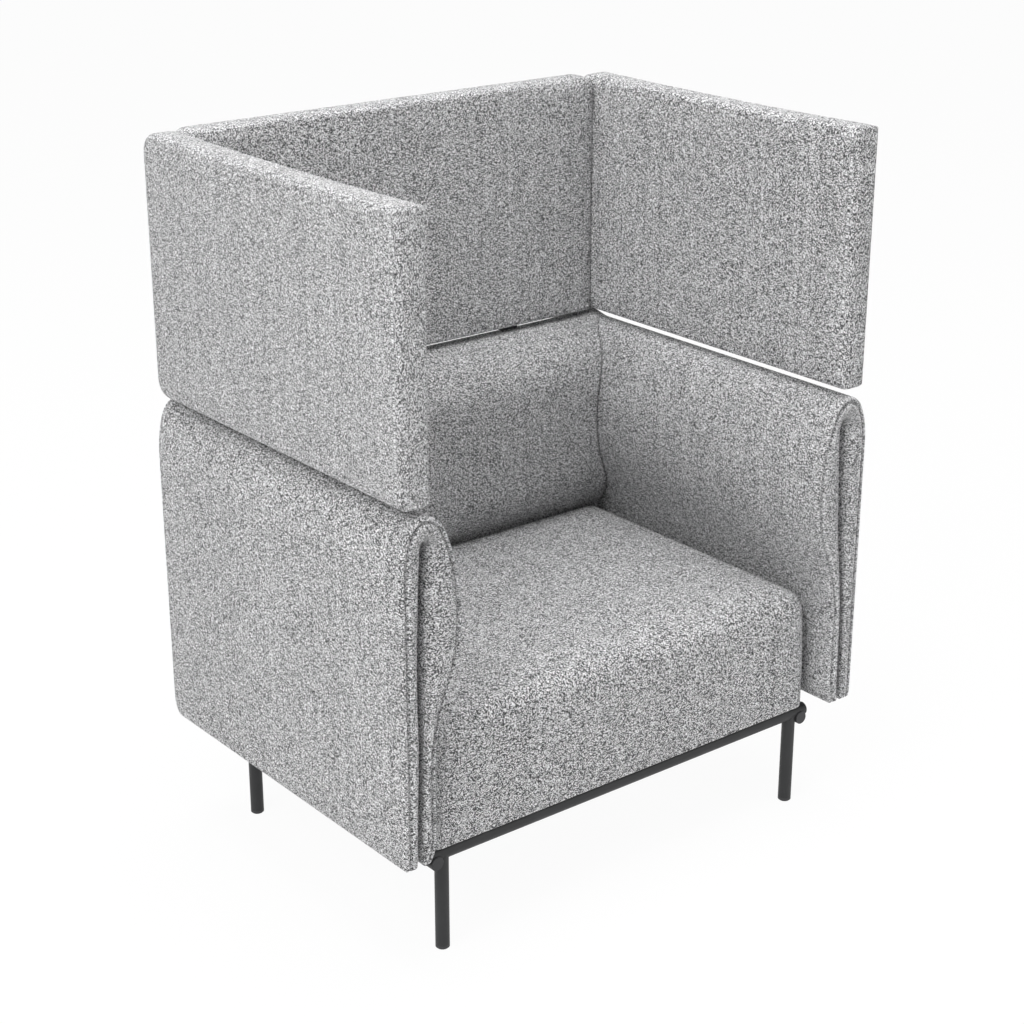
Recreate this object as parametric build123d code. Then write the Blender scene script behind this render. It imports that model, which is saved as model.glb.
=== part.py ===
from build123d import *

import math
import os

# Acoustic high back lounge chair, in millimetres.
# Frame: +X to the right as seen from the front, +Y to the back, +Z up. Left and right in
# names are as seen from the front.
# Origin: on the floor, in the middle of the chair.

# ---------------------------------------------------------------- base frame
TUBE_DIAMETER = 25.0
TUBE_WALL = 2.0
FRONT_LEG_INSET = 15.0
REAR_LEG_INSET = 17.0
LEG_INSET = 26.0
CROSS_TUBE_OVERHANG = 18.5
CROSS_TUBE_HEIGHT = 185.5
SIDE_TUBE_INSET = 7.0
SIDE_TUBE_DROP = 10.0
SIDE_TUBE_OVERHANG = 16.0
WELD_GAP = 0.1
PLUG_FLANGE = 2.5
PLUG_EDGE = 1.0
PLUG_DEPTH = 14.0
PLUG_CLEARANCE = 0.15
GLIDE_HEIGHT = 7.0
GLIDE_EDGE = 2.0

# ---------------------------------------------------------------- seat
SEAT_HALF_WIDTH = 440.0
SEAT_FRONT_Y = -337.5
SEAT_REAR_Y = 289.5
SEAT_BASE_GAP = 0.3
SEAT_HEIGHT = 438.0
SEAT_CORNER_RADIUS = 46.0
SEAT_TOP_RADIUS = 42.0
SEAT_BOTTOM_BEVEL = 3.0
SEAT_FOAM_CHAMFER = 34.0
FABRIC = 2.0
FRAME_PADDING = 10.0
RAIL_THICKNESS = 22.0
RAIL_HEIGHT = 60.0
RAIL_CORNER = 16.0
CORNER_BLOCK = 70.0
CORNER_BLOCK_HEIGHT = 40.0
HEM_WIDTH = 17.0
LINING_THICKNESS = 0.8
WEBBING_WIDTH = 60.0
WEBBING_THICKNESS = 1.6
WEBBING_LIFT = 1.0
LENGTHWISE_STRAPS = 5
CROSSWISE_STRAPS = 4
TAB_INSET = 55.0
TAB_WIDTH = 36.0
TAB_THICKNESS = 4.0
TAB_START = 5.0
TAB_REACH = 48.0
TAB_SCREW_OFFSET = 34.0
SCREW_DIAMETER = 6.0
SCREW_HEAD_DIAMETER = 12.0
SCREW_HEAD_HEIGHT = 3.5
SCREW_LENGTH = 30.0
SCREW_HOLE_CLEARANCE = 0.3

# ---------------------------------------------------------------- folded arms and back
# Each offset is measured outwards from the seat's side, or backwards from the seat's rear.
PAD_FOOT_LIFT = 17.5
PAD_CREST_Z = 823.0
ARM_OUTER_OFFSET = 83.0
ARM_CREST_OFFSET = 28.0
ARM_CREST_RADIUS = 44.0
ARM_BULGE_OFFSET = -33.0
ARM_BULGE_Z = 640.0
ARM_FOOT_OFFSET = 20.0
ARM_FOOT_Z = 382.0
ARM_SHOULDER_Z = 730.0
ARM_FRONT_OVERHANG = 41.0
ARM_REAR_SETBACK = 3.0
SLOT_TOP_OFFSET = 30.0
SLOT_MIDDLE_OFFSET = 44.0
SLOT_BOTTOM_OFFSET = 53.5
SLOT_TOP_Z = 768.0
SLOT_MIDDLE_Z = 500.0
SUPPORT_BAR_THICKNESS = 10.0
SUPPORT_BAR_WIDTH = 40.0
SLOT_CLEARANCE = 0.5
FRONT_BAR_SETBACK = 112.5
REAR_BAR_SETBACK = 117.5
BAR_TOP_Z = 690.0
BAR_FOOT_DROP = 2.0
BAR_BEND_RADIUS = 9.0
LEAF_CORNER_RADIUS = 10.5
PAD_END_BEVEL = 6.0
PAD_REAR_CORNER = 36.0
BOARD_THICKNESS = 9.0
BOARD_SETBACK = 5.0
BOARD_TOP_Z = 720.0
BOARD_FOOT_MARGIN = 22.0
BOARD_END_MARGIN = 26.0
PAD_FOAM_INSET = 3.0
PAD_FOAM_CHAMFER = 6.0
BOLT_DIAMETER = 8.0
BOLT_HEAD_DIAMETER = 16.0
BOLT_HEAD_HEIGHT = 4.0
LOW_BOLT_Z = 300.0
HIGH_BOLT_Z = 620.0

BACK_REAR_OFFSET = 89.0
BACK_CREST_RISE = 5.0
BACK_SHOULDER_RADIUS = 30.0
BACK_BULGE_OFFSET = -62.0
BACK_BULGE_TOP_Z = 716.0
BACK_BULGE_LOW_Z = 530.0
BACK_FOOT_OFFSET = 5.0
BACK_FOOT_Z = 372.0
BACK_SLOT_OFFSET = 58.0
BACK_SLOT_TOP_Z = 775.0
BACK_END_CLEARANCE = 0.5
BACK_UPRIGHT_INSET = 180.0

# ---------------------------------------------------------------- acoustic screens
SCREEN_GAP = 6.0
SCREEN_HEIGHT = 473.0
SCREEN_THICKNESS = 58.0
SCREEN_SETBACK = 7.0
SCREEN_EDGE_BEVEL = 7.0
SCREEN_REAR_CORNER = 40.0
SCREEN_FRONT_CORNER = 14.0
BACK_SCREEN_CORNER = 20.0
SCREEN_JOINT_GAP = 0.3
SCREEN_BOARD_THICKNESS = 12.0
SCREEN_BOARD_MARGIN = 24.0
SCREEN_FOAM_CHAMFER = 7.0
UPRIGHT_REACH = 280.0
BRACKET_THICKNESS = 3.0
BRACKET_WIDTH = 40.0
BRACKET_LENGTH = 90.0
BRACKET_LOW_INSET = 70.0
BRACKET_HIGH_INSET = 73.0
POCKET_CLEARANCE = 0.4

# ---------------------------------------------------------------- values that follow from the above
tube_radius = TUBE_DIAMETER / 2
bore_radius = tube_radius - TUBE_WALL
side_tube_height = CROSS_TUBE_HEIGHT - SIDE_TUBE_DROP
leg_x = SEAT_HALF_WIDTH - LEG_INSET
front_leg_y = SEAT_FRONT_Y + FRONT_LEG_INSET
rear_leg_y = SEAT_REAR_Y - REAR_LEG_INSET
side_tube_x = SEAT_HALF_WIDTH - SIDE_TUBE_INSET
cross_tube_length = 2 * (side_tube_x + CROSS_TUBE_OVERHANG)
tab_x = SEAT_HALF_WIDTH - TAB_INSET
arm_outer_x = SEAT_HALF_WIDTH + ARM_OUTER_OFFSET
arm_crest_x = SEAT_HALF_WIDTH + ARM_CREST_OFFSET
arm_bulge_x = SEAT_HALF_WIDTH + ARM_BULGE_OFFSET
arm_foot_x = SEAT_HALF_WIDTH + ARM_FOOT_OFFSET
slot_top_x = SEAT_HALF_WIDTH + SLOT_TOP_OFFSET
slot_middle_x = SEAT_HALF_WIDTH + SLOT_MIDDLE_OFFSET
slot_bottom_x = SEAT_HALF_WIDTH + SLOT_BOTTOM_OFFSET
back_upright_x = SEAT_HALF_WIDTH - BACK_UPRIGHT_INSET
back_bulge_y = SEAT_REAR_Y + BACK_BULGE_OFFSET
back_foot_y = SEAT_REAR_Y + BACK_FOOT_OFFSET
back_slot_y = SEAT_REAR_Y + BACK_SLOT_OFFSET
back_rear_y = SEAT_REAR_Y + BACK_REAR_OFFSET
arm_front_y = SEAT_FRONT_Y - ARM_FRONT_OVERHANG
arm_rear_y = back_rear_y - ARM_REAR_SETBACK
arm_bar_ys = (front_leg_y + FRONT_BAR_SETBACK, rear_leg_y - REAR_BAR_SETBACK)
pad_bottom_z = CROSS_TUBE_HEIGHT + PAD_FOOT_LIFT
board_bottom_z = pad_bottom_z + BOARD_FOOT_MARGIN
bolt_heights = (LOW_BOLT_Z, HIGH_BOLT_Z)
back_crest_z = PAD_CREST_Z + BACK_CREST_RISE
screen_bottom_z = back_crest_z + SCREEN_GAP
screen_top_z = screen_bottom_z + SCREEN_HEIGHT
screen_outer_x = arm_outer_x - SCREEN_SETBACK
screen_front_y = arm_front_y + SCREEN_SETBACK
screen_rear_y = back_rear_y
seat_bottom_z = CROSS_TUBE_HEIGHT + tube_radius + SEAT_BASE_GAP
rail_bottom_z = seat_bottom_z + FABRIC
rail_top_z = rail_bottom_z + RAIL_HEIGHT
webbing_z = rail_top_z + WEBBING_THICKNESS / 2
foam_floor_z = webbing_z + WEBBING_LIFT + WEBBING_THICKNESS / 2 + WELD_GAP
frame_half_width = SEAT_HALF_WIDTH - FABRIC - FRAME_PADDING
frame_front_y = SEAT_FRONT_Y + FABRIC + FRAME_PADDING
frame_rear_y = SEAT_REAR_Y - FABRIC - FRAME_PADDING
slot_width = SUPPORT_BAR_THICKNESS + 2 * SLOT_CLEARANCE
bar_foot_z = side_tube_height + tube_radius - BAR_FOOT_DROP
back_foot_z = CROSS_TUBE_HEIGHT + tube_radius - BAR_FOOT_DROP - SUPPORT_BAR_THICKNESS
screw_hole_radius = SCREW_DIAMETER / 2 + SCREW_HOLE_CLEARANCE
bolt_hole_radius = BOLT_DIAMETER / 2 + SCREW_HOLE_CLEARANCE
screen_inner_x = screen_outer_x - SCREEN_THICKNESS
back_screen_front_y = screen_rear_y - SCREEN_THICKNESS
back_screen_half_width = screen_inner_x - SCREEN_JOINT_GAP
upright_front_y = back_slot_y - SUPPORT_BAR_THICKNESS / 2
upright_top_z = screen_bottom_z + UPRIGHT_REACH
back_crest_radius = back_crest_z - BACK_BULGE_TOP_Z

SIDES = {"left": -1.0, "right": 1.0}


# ---------------------------------------------------------------- helpers
def save(name, *pieces):
    """Write the pieces of one named node."""
    shape = pieces[0] if len(pieces) == 1 else Compound(children=[Part(p.wrapped) for p in pieces])
    export_step(shape, f"parts/{name}.step")


def box_between(low, high):
    """A box from its lowest to its highest corner."""
    size = [b - a for a, b in zip(low, high)]
    middle = [(a + b) / 2 for a, b in zip(low, high)]
    return Pos(*middle) * Box(*size)


def rod(start, end, radius):
    """A round bar from one point to another."""
    along = Vector(*end) - Vector(*start)
    return Part(Solid.make_cylinder(radius, along.length, Plane(start, z_dir=along)).wrapped)


def tube(start, end):
    """A round tube of the frame's size."""
    reach = (Vector(*end) - Vector(*start)).normalized()
    inner_start = tuple(Vector(*start) - reach)
    inner_end = tuple(Vector(*end) + reach)
    return rod(start, end, tube_radius) - rod(inner_start, inner_end, bore_radius)


def mirrored(shape, side):
    """The shape itself on the right, its mirror image on the left."""
    return shape if side > 0 else mirror(shape, about=Plane.YZ)


def slab(edges, start_y, end_y):
    """An outline in the XZ plane at y = 0, extruded between two depths."""
    face = Pos(0, start_y, 0) * Face(Wire(edges))
    return extrude(face, amount=end_y - start_y, dir=(0, 1, 0))


def polygon_slab(points, start_y, end_y):
    """A closed XZ polygon, extruded between two depths."""
    corners = [(x, 0, z) for x, z in points]
    return slab(list(Polyline(*corners, close=True).edges()), start_y, end_y)


def hex_rod(start, end, across_corners):
    """A six-sided bar from one point to another."""
    along = Vector(*end) - Vector(*start)
    section = Plane(start, z_dir=along) * RegularPolygon(across_corners / 2, 6)
    return extrude(section, amount=along.length)


def arc(centre, radius, start, end):
    """An arc in the XZ plane as three points: its start, its middle and its end, by angle in degrees."""
    angles = [math.radians(a) for a in (start, (start + end) / 2, end)]
    return [(centre[0] + radius * math.cos(a), centre[1] + radius * math.sin(a)) for a in angles]


def outline_edges(parts):
    """Lines through two XZ points and arcs through three, joined end to end."""
    edges = []
    for points in parts:
        places = [(x, 0, z) for x, z in points]
        make = Edge.make_line if len(places) == 2 else Edge.make_three_point_arc
        edges.append(make(*places))
    return edges


def sampled(parts, steps):
    """The outline as a plain polygon: an arc takes the given number of steps, a line takes one."""
    points = []
    for part, edge in zip(parts, outline_edges(parts)):
        count = 1 if len(part) == 2 else steps
        points += [((edge @ (i / count)).X, (edge @ (i / count)).Z) for i in range(count)]
    return points


def flank_radius(width, drop, crest_radius):
    """The radius of a flank that starts upright and runs smoothly into a crest's arc.

    width is from the flank to the crest's centre, drop from that centre to where the flank starts.
    """
    return (width**2 + drop**2 - crest_radius**2) / (2 * (width - crest_radius))


def crest_and_flank(crest, crest_radius, flank):
    """Two arcs from the top of a crest down one side, ending upright at the flank's lower end."""
    (crest_x, crest_z), (flank_x, flank_z) = crest, flank
    toward = 1 if crest_x > flank_x else -1
    drop = crest_z - crest_radius - flank_z
    radius = flank_radius(abs(crest_x - flank_x), drop, crest_radius)
    centre_x = flank_x + toward * radius
    lean = math.degrees(math.atan2(drop, toward * (centre_x - crest_x)))
    turn = 180 - lean if toward > 0 else lean
    upright = 180 if toward > 0 else 0
    return [
        arc((crest_x, crest_z - crest_radius), crest_radius, 90, turn),
        arc((centre_x, flank_z), radius, turn, upright),
    ]


def ogee(upper, lower):
    """Two equal arcs that lead smoothly from one upright line down to another."""
    (upper_x, upper_z), (lower_x, lower_z) = upper, lower
    shift, fall = lower_x - upper_x, upper_z - lower_z
    radius = (fall**2 + shift**2) / (4 * shift)
    turn = math.degrees(math.asin(fall / 2 / radius))
    return [
        arc((upper_x + radius, upper_z), radius, 180, 180 + turn),
        arc((lower_x - radius, lower_z), radius, turn, 0),
    ]


def inset_slab(points, inset, start_y, end_y, end_chamfer):
    """A polygon outline moved inwards and extruded, with its two ends chamfered."""
    corners = [(x, 0, z) for x, z in points]
    flat = Face(Wire(Polyline(*corners, close=True).edges()))
    inner = offset(flat, amount=-inset, kind=Kind.INTERSECTION).faces()[0]
    body = extrude(Pos(0, start_y, 0) * inner, amount=end_y - start_y, dir=(0, 1, 0))
    ends = body.faces().sort_by(Axis.Y)
    return chamfer(ends[0].edges() + ends[-1].edges(), end_chamfer)


# ---------------------------------------------------------------- base frame pieces
def cross_tube_axis(leg_y):
    half = cross_tube_length / 2 - PLUG_FLANGE
    return (-half, leg_y, CROSS_TUBE_HEIGHT), (half, leg_y, CROSS_TUBE_HEIGHT)


def side_tube_axis(side):
    start = front_leg_y - SIDE_TUBE_OVERHANG + PLUG_FLANGE
    end = rear_leg_y + SIDE_TUBE_OVERHANG - PLUG_FLANGE
    return (side * side_tube_x, start, side_tube_height), (side * side_tube_x, end, side_tube_height)


def cross_tube_envelope(leg_y):
    """The outside of a cross tube with its weld gap."""
    return rod(*cross_tube_axis(leg_y), tube_radius + WELD_GAP)


def side_tube(side):
    """A side tube, notched on top where the two cross tubes lie in it."""
    body = tube(*side_tube_axis(side))
    return body - cross_tube_envelope(front_leg_y) - cross_tube_envelope(rear_leg_y)


def leg(side, leg_y):
    """A leg tube, coped at the top to the cross tube and to the side tube beside it."""
    x = side * leg_x
    body = tube((x, leg_y, GLIDE_HEIGHT), (x, leg_y, CROSS_TUBE_HEIGHT))
    body -= rod(*side_tube_axis(side), tube_radius + WELD_GAP)
    body -= cross_tube_envelope(leg_y)
    return body.solids().sort_by(Axis.Z)[0]


def plug(place, outward, flange, edge):
    """A moulded plug: a bevelled flange as wide as the tube, on a six-sided spigot in the bore."""
    spigot_width = 2 * (bore_radius - PLUG_CLEARANCE)
    cap = rod((0, 0, 0), (0, 0, flange), tube_radius)
    cap = chamfer(cap.faces().sort_by(Axis.Z)[-1].edges(), edge)
    moulded = cap + hex_rod((0, 0, -PLUG_DEPTH), (0, 0, 0), spigot_width)
    return Plane(place, z_dir=outward) * moulded


def tube_end_plugs():
    plugs = []
    for leg_y in (front_leg_y, rear_leg_y):
        start, end = cross_tube_axis(leg_y)
        plugs.append(plug(start, (-1, 0, 0), PLUG_FLANGE, PLUG_EDGE))
        plugs.append(plug(end, (1, 0, 0), PLUG_FLANGE, PLUG_EDGE))
    for side in SIDES.values():
        start, end = side_tube_axis(side)
        plugs.append(trimmed_plug(start, (0, -1, 0), front_leg_y))
        plugs.append(trimmed_plug(end, (0, 1, 0), rear_leg_y))
    return plugs


def trimmed_plug(place, outward, leg_y):
    """A side tube's plug, its spigot cut away where the cross tube lies in the side tube."""
    return plug(place, outward, PLUG_FLANGE, PLUG_EDGE) - cross_tube_envelope(leg_y)


def leg_places():
    return [(side * leg_x, leg_y) for side in SIDES.values() for leg_y in (front_leg_y, rear_leg_y)]


def leg_glides():
    return [plug((x, y, GLIDE_HEIGHT), (0, 0, -1), GLIDE_HEIGHT, GLIDE_EDGE) for x, y in leg_places()]


# ---------------------------------------------------------------- how the seat is held down
def tab_places():
    """Each tab's x, its cross tube's y, and the way the tab points: inwards."""
    rows = ((front_leg_y, 1.0), (rear_leg_y, -1.0))
    return [(side * tab_x, leg_y, inwards) for side in SIDES.values() for leg_y, inwards in rows]


def screw_place(x, leg_y, inwards):
    return x, leg_y + inwards * TAB_SCREW_OFFSET


def seat_mounting_tabs():
    tabs = []
    top = seat_bottom_z - SEAT_BASE_GAP
    for x, leg_y, inwards in tab_places():
        near, far = sorted((leg_y + inwards * TAB_START, leg_y + inwards * TAB_REACH))
        plate = box_between(
            (x - TAB_WIDTH / 2, near, top - TAB_THICKNESS), (x + TAB_WIDTH / 2, far, top)
        )
        free_end = plate.faces().sort_by(Axis.Y)[-1 if inwards > 0 else 0]
        plate = fillet(free_end.edges().filter_by(Axis.Z), TAB_WIDTH / 4)
        hole_x, hole_y = screw_place(x, leg_y, inwards)
        plate -= cross_tube_envelope(leg_y)
        plate -= rod((hole_x, hole_y, top - 2 * TAB_THICKNESS), (hole_x, hole_y, top + 1), screw_hole_radius)
        tabs.append(plate)
    return tabs


def screw(place, along, length):
    """A hexagon-head screw whose head sits at the place and whose shank runs along the direction."""
    direction = Vector(*along)
    start = Vector(*place)
    head = hex_rod(tuple(start - direction * SCREW_HEAD_HEIGHT), tuple(start), SCREW_HEAD_DIAMETER)
    return head + rod(tuple(start), tuple(start + direction * length), SCREW_DIAMETER / 2)


def seat_screw_axis(x, y):
    """Where a seat screw's head meets its tab."""
    return x, y, seat_bottom_z - SEAT_BASE_GAP - TAB_THICKNESS


def seat_tab_screws():
    screws = []
    for tab in tab_places():
        screws.append(screw(seat_screw_axis(*screw_place(*tab)), (0, 0, 1), SCREW_LENGTH))
    return screws


def seat_screw_holes():
    holes = []
    for tab in tab_places():
        x, y, z = seat_screw_axis(*screw_place(*tab))
        holes.append(rod((x, y, z), (x, y, z + SCREW_LENGTH + SCREW_HOLE_CLEARANCE), screw_hole_radius))
    return holes


# ---------------------------------------------------------------- seat pieces
def seat_rails():
    """The four timber rails; the side rails stand between the front and rear rails."""
    front = box_between(
        (-frame_half_width, frame_front_y, rail_bottom_z),
        (frame_half_width, frame_front_y + RAIL_THICKNESS, rail_top_z),
    )
    rear = box_between(
        (-frame_half_width, frame_rear_y - RAIL_THICKNESS, rail_bottom_z),
        (frame_half_width, frame_rear_y, rail_top_z),
    )
    side = box_between(
        (frame_half_width - RAIL_THICKNESS, frame_front_y + RAIL_THICKNESS, rail_bottom_z),
        (frame_half_width, frame_rear_y - RAIL_THICKNESS, rail_top_z),
    )
    front = chamfer(front.faces().sort_by(Axis.Y)[0].edges().filter_by(Axis.Z), RAIL_CORNER)
    rear = chamfer(rear.faces().sort_by(Axis.Y)[-1].edges().filter_by(Axis.Z), RAIL_CORNER)
    return front, rear, side


def seat_corner_blocks():
    """Triangular glue blocks in the corners of the timber frame, which take the seat's screws."""
    blocks = []
    x = frame_half_width - RAIL_THICKNESS
    rows = ((frame_front_y + RAIL_THICKNESS, 1.0), (frame_rear_y - RAIL_THICKNESS, -1.0))
    for side in SIDES.values():
        for y, inwards in rows:
            corners = [
                (side * x, y, rail_bottom_z),
                (side * (x - CORNER_BLOCK), y, rail_bottom_z),
                (side * x, y + inwards * CORNER_BLOCK, rail_bottom_z),
            ]
            face = Face(Wire(Polyline(*corners, close=True).edges()))
            block = extrude(face, amount=CORNER_BLOCK_HEIGHT, dir=(0, 0, 1))
            for hole in seat_screw_holes():
                block -= hole
            blocks.append(block)
    return blocks


def strap(span, crossings, first_lift):
    """One webbing strap along X: flat on the rails, and over and under the straps it crosses."""
    rise = WEBBING_WIDTH * 0.7
    rail_edge = span / 2 - RAIL_THICKNESS
    middle = [(-span / 2, 0.0), (-rail_edge, 0.0)]
    for index, place in enumerate(crossings):
        lift = WEBBING_LIFT * (1 if (index + first_lift) % 2 else -1)
        middle += [(place - rise / 2, lift), (place + rise / 2, lift)]
    middle += [(rail_edge, 0.0), (span / 2, 0.0)]
    half = WEBBING_THICKNESS / 2
    top = [(x, z + half) for x, z in middle]
    bottom = [(x, z - half) for x, z in reversed(middle)]
    return polygon_slab(top + bottom, -WEBBING_WIDTH / 2, WEBBING_WIDTH / 2)


def strap_places(count, low, high):
    """Evenly spaced places for straps between two limits."""
    pitch = (high - low) / count
    return [low + pitch * (index + 0.5) for index in range(count)]


def seat_webbing():
    """Elastic straps woven over and under each other across the timber frame."""
    inner = frame_half_width - RAIL_THICKNESS
    xs = strap_places(LENGTHWISE_STRAPS, -inner, inner)
    ys = strap_places(CROSSWISE_STRAPS, frame_front_y + RAIL_THICKNESS, frame_rear_y - RAIL_THICKNESS)
    width = 2 * frame_half_width
    depth = frame_rear_y - frame_front_y
    middle_y = (frame_rear_y + frame_front_y) / 2
    crosswise = [Pos(0, y, webbing_z) * strap(width, xs, row) for row, y in enumerate(ys)]
    lengthwise = []
    for column, x in enumerate(xs):
        local_ys = [y - middle_y for y in ys]
        band = strap(depth, local_ys, column + 1)
        lengthwise.append(Pos(x, middle_y, webbing_z) * Rot(0, 0, 90) * band)
    return lengthwise, crosswise


def seat_envelope():
    """The upholstered block, with rounded corners, top edge and lower edge."""
    block = box_between(
        (-SEAT_HALF_WIDTH, SEAT_FRONT_Y, seat_bottom_z), (SEAT_HALF_WIDTH, SEAT_REAR_Y, SEAT_HEIGHT)
    )
    block = fillet(block.edges().filter_by(Axis.Z), SEAT_CORNER_RADIUS)
    block = fillet(block.faces().sort_by(Axis.Z)[-1].edges(), SEAT_TOP_RADIUS)
    return chamfer(block.faces().sort_by(Axis.Z)[0].edges(), SEAT_BOTTOM_BEVEL)


def seat_foam_block():
    """The foam on the webbing, with a skirt round the timber frame."""
    block = box_between(
        (-SEAT_HALF_WIDTH + FABRIC, SEAT_FRONT_Y + FABRIC, rail_bottom_z),
        (SEAT_HALF_WIDTH - FABRIC, SEAT_REAR_Y - FABRIC, SEAT_HEIGHT - FABRIC),
    )
    block = chamfer(block.edges().filter_by(Axis.Z), SEAT_FOAM_CHAMFER)
    return chamfer(block.faces().sort_by(Axis.Z)[-1].edges(), SEAT_FOAM_CHAMFER)


def frame_cavity():
    """The room that the timber frame and the webbing take up inside the foam."""
    low = (-frame_half_width, frame_front_y, rail_bottom_z)
    high = (frame_half_width, frame_rear_y, foam_floor_z)
    cavity = box_between(low, high)
    return chamfer(cavity.edges().filter_by(Axis.Z), RAIL_CORNER)


def hem_opening(grow):
    """The opening in the cover's underside, inside its turned-under hem."""
    inset = HEM_WIDTH + grow
    return box_between(
        (-frame_half_width + inset, frame_front_y + inset, seat_bottom_z - 1),
        (frame_half_width - inset, frame_rear_y - inset, rail_bottom_z),
    )


def seat_pieces():
    foam_block = seat_foam_block()
    holes = seat_screw_holes()
    cover = seat_envelope() - foam_block - hem_opening(0)
    inset = HEM_WIDTH + POCKET_CLEARANCE
    lining = box_between(
        (-frame_half_width + inset, frame_front_y + inset, rail_bottom_z - LINING_THICKNESS),
        (frame_half_width - inset, frame_rear_y - inset, rail_bottom_z),
    )
    for hole in holes:
        cover -= hole
        lining -= hole
    return foam_block - frame_cavity(), cover, lining


# ---------------------------------------------------------------- folded arm
def slot_curve(shift):
    """The middle of an arm's slot, from its top to the foot of the leaves, moved sideways."""
    return [
        (slot_top_x + shift, SLOT_TOP_Z),
        (slot_middle_x + shift, SLOT_MIDDLE_Z),
        (slot_bottom_x + shift, pad_bottom_z),
    ]


def arm_inner_curves(clearance):
    """The sitter's side of an arm, crest to foot, or a line that stays clear of it."""
    crest = (arm_crest_x, PAD_CREST_Z + clearance)
    bulge = (arm_bulge_x - clearance, ARM_BULGE_Z)
    foot = (arm_foot_x - clearance, ARM_FOOT_Z)
    return crest_and_flank(crest, ARM_CREST_RADIUS + clearance, bulge) + ogee(bulge, foot)


def folded_outline(sitters_side, outer_side):
    """A folded pad's end view without its slot, from curves that start at the crest on either side."""
    radius = LEAF_CORNER_RADIUS
    bottom = pad_bottom_z
    foot, outer = sitters_side[-1][-1], outer_side[-1][-1]
    return sitters_side + [
        [foot, (foot[0], bottom + radius)],
        arc((foot[0] + radius, bottom + radius), radius, 180, 270),
        [(foot[0] + radius, bottom), (outer[0] - radius, bottom)],
        arc((outer[0] - radius, bottom + radius), radius, 270, 360),
        [(outer[0], bottom + radius), outer],
    ] + [points[::-1] for points in reversed(outer_side)]


def arm_outline():
    crest = (arm_crest_x, PAD_CREST_Z)
    outer = crest_and_flank(crest, ARM_CREST_RADIUS, (arm_outer_x, ARM_SHOULDER_Z))
    return folded_outline(arm_inner_curves(0), outer)


def slot_outline(inner_wall, outer_wall):
    """The slot between a pad's two leaves: two walls, a rounded top and an open foot."""
    (left, top), (right, _) = inner_wall[0], outer_wall[0]
    (foot_left, foot), (foot_right, _) = inner_wall[-1], outer_wall[-1]
    below = foot - LEAF_CORNER_RADIUS
    return [
        inner_wall[::-1],
        arc(((left + right) / 2, top), (right - left) / 2, 180, 0),
        outer_wall,
        [(foot_right, foot), (foot_right, below)],
        [(foot_right, below), (foot_left, below)],
        [(foot_left, below), (foot_left, foot)],
    ]


def folded_block(outline, inner_wall, outer_wall, start_y, end_y):
    """The outside of a folded pad: the slot cut up between its leaves, and bevelled ends."""
    slot = slab(outline_edges(slot_outline(inner_wall, outer_wall)), start_y - 1, end_y + 1)
    block = slab(outline_edges(outline), start_y, end_y) - slot
    ends = block.faces().filter_by(Axis.Y).edges()
    rim = [edge for edge in ends if slot.distance_to(edge.center()) > WELD_GAP]
    return chamfer(rim, PAD_END_BEVEL)


def folded_core(outline, inner_wall, outer_wall, start_y, end_y):
    """The foam inside a folded pad, drawn with few flat faces."""
    block = inset_slab(sampled(outline, 3), PAD_FOAM_INSET, start_y, end_y, PAD_FOAM_CHAMFER)
    slot = polygon_slab(sampled(slot_outline(inner_wall, outer_wall), 3), start_y - 1, end_y + 1)
    return block - slot


def strip_beside_slot(near, far, top_z, bottom_z, start_y, end_y):
    """A board or bar that runs down beside the slot's middle line, between two offsets from it."""
    curve, other = slot_curve(near), slot_curve(far)
    edges = outline_edges([
        curve,
        [curve[-1], other[-1]],
        other[::-1],
        [other[0], curve[0]],
    ])
    band = slab(edges, start_y, end_y)
    window = box_between((0, start_y - 1, bottom_z), (arm_outer_x * 2, end_y + 1, top_z))
    return band & window


def arm_bar(bar_y):
    """A support bar: a foot welded to the side tube, a bend, and a blade up the slot."""
    half = SUPPORT_BAR_THICKNESS / 2
    start_y, end_y = bar_y - SUPPORT_BAR_WIDTH / 2, bar_y + SUPPORT_BAR_WIDTH / 2
    blade = strip_beside_slot(-half, half, BAR_TOP_Z, pad_bottom_z, start_y, end_y)
    foot = box_between(
        (side_tube_x, start_y, bar_foot_z),
        (slot_bottom_x + half, end_y, bar_foot_z + SUPPORT_BAR_THICKNESS),
    )
    riser = box_between(
        (slot_bottom_x - half, start_y, bar_foot_z), (slot_bottom_x + half, end_y, pad_bottom_z)
    )
    foot = foot + riser
    heel = foot.edges().filter_by(Axis.Y).sort_by(lambda e: e.center().X - e.center().Z)[-1]
    foot = fillet(heel, BAR_BEND_RADIUS)
    bar = blade + foot
    bar -= rod(*side_tube_axis(1.0), tube_radius + WELD_GAP)
    for axis in arm_bolt_axes(bar_y):
        bar -= rod(*axis, bolt_hole_radius)
    return bar


def slot_x_at(z):
    """The slot's middle at a height, found by halving."""
    middle = outline_edges([slot_curve(0)])[0]
    low, high = 0.0, 1.0
    for _ in range(30):
        t = (low + high) / 2
        if (middle @ t).Z > z:
            low = t
        else:
            high = t
    return (middle @ low).X


def bolt_half_length():
    """From the slot's middle to the outer face of a board."""
    return slot_width / 2 + BOARD_SETBACK + BOARD_THICKNESS


def arm_bolt_axes(bar_y):
    """The ends of each bolt that clamps both boards to a support bar."""
    reach = bolt_half_length()
    lines = []
    for z in bolt_heights:
        x = slot_x_at(z)
        lines.append(((x - reach, bar_y, z), (x + reach, bar_y, z)))
    return lines


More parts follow.
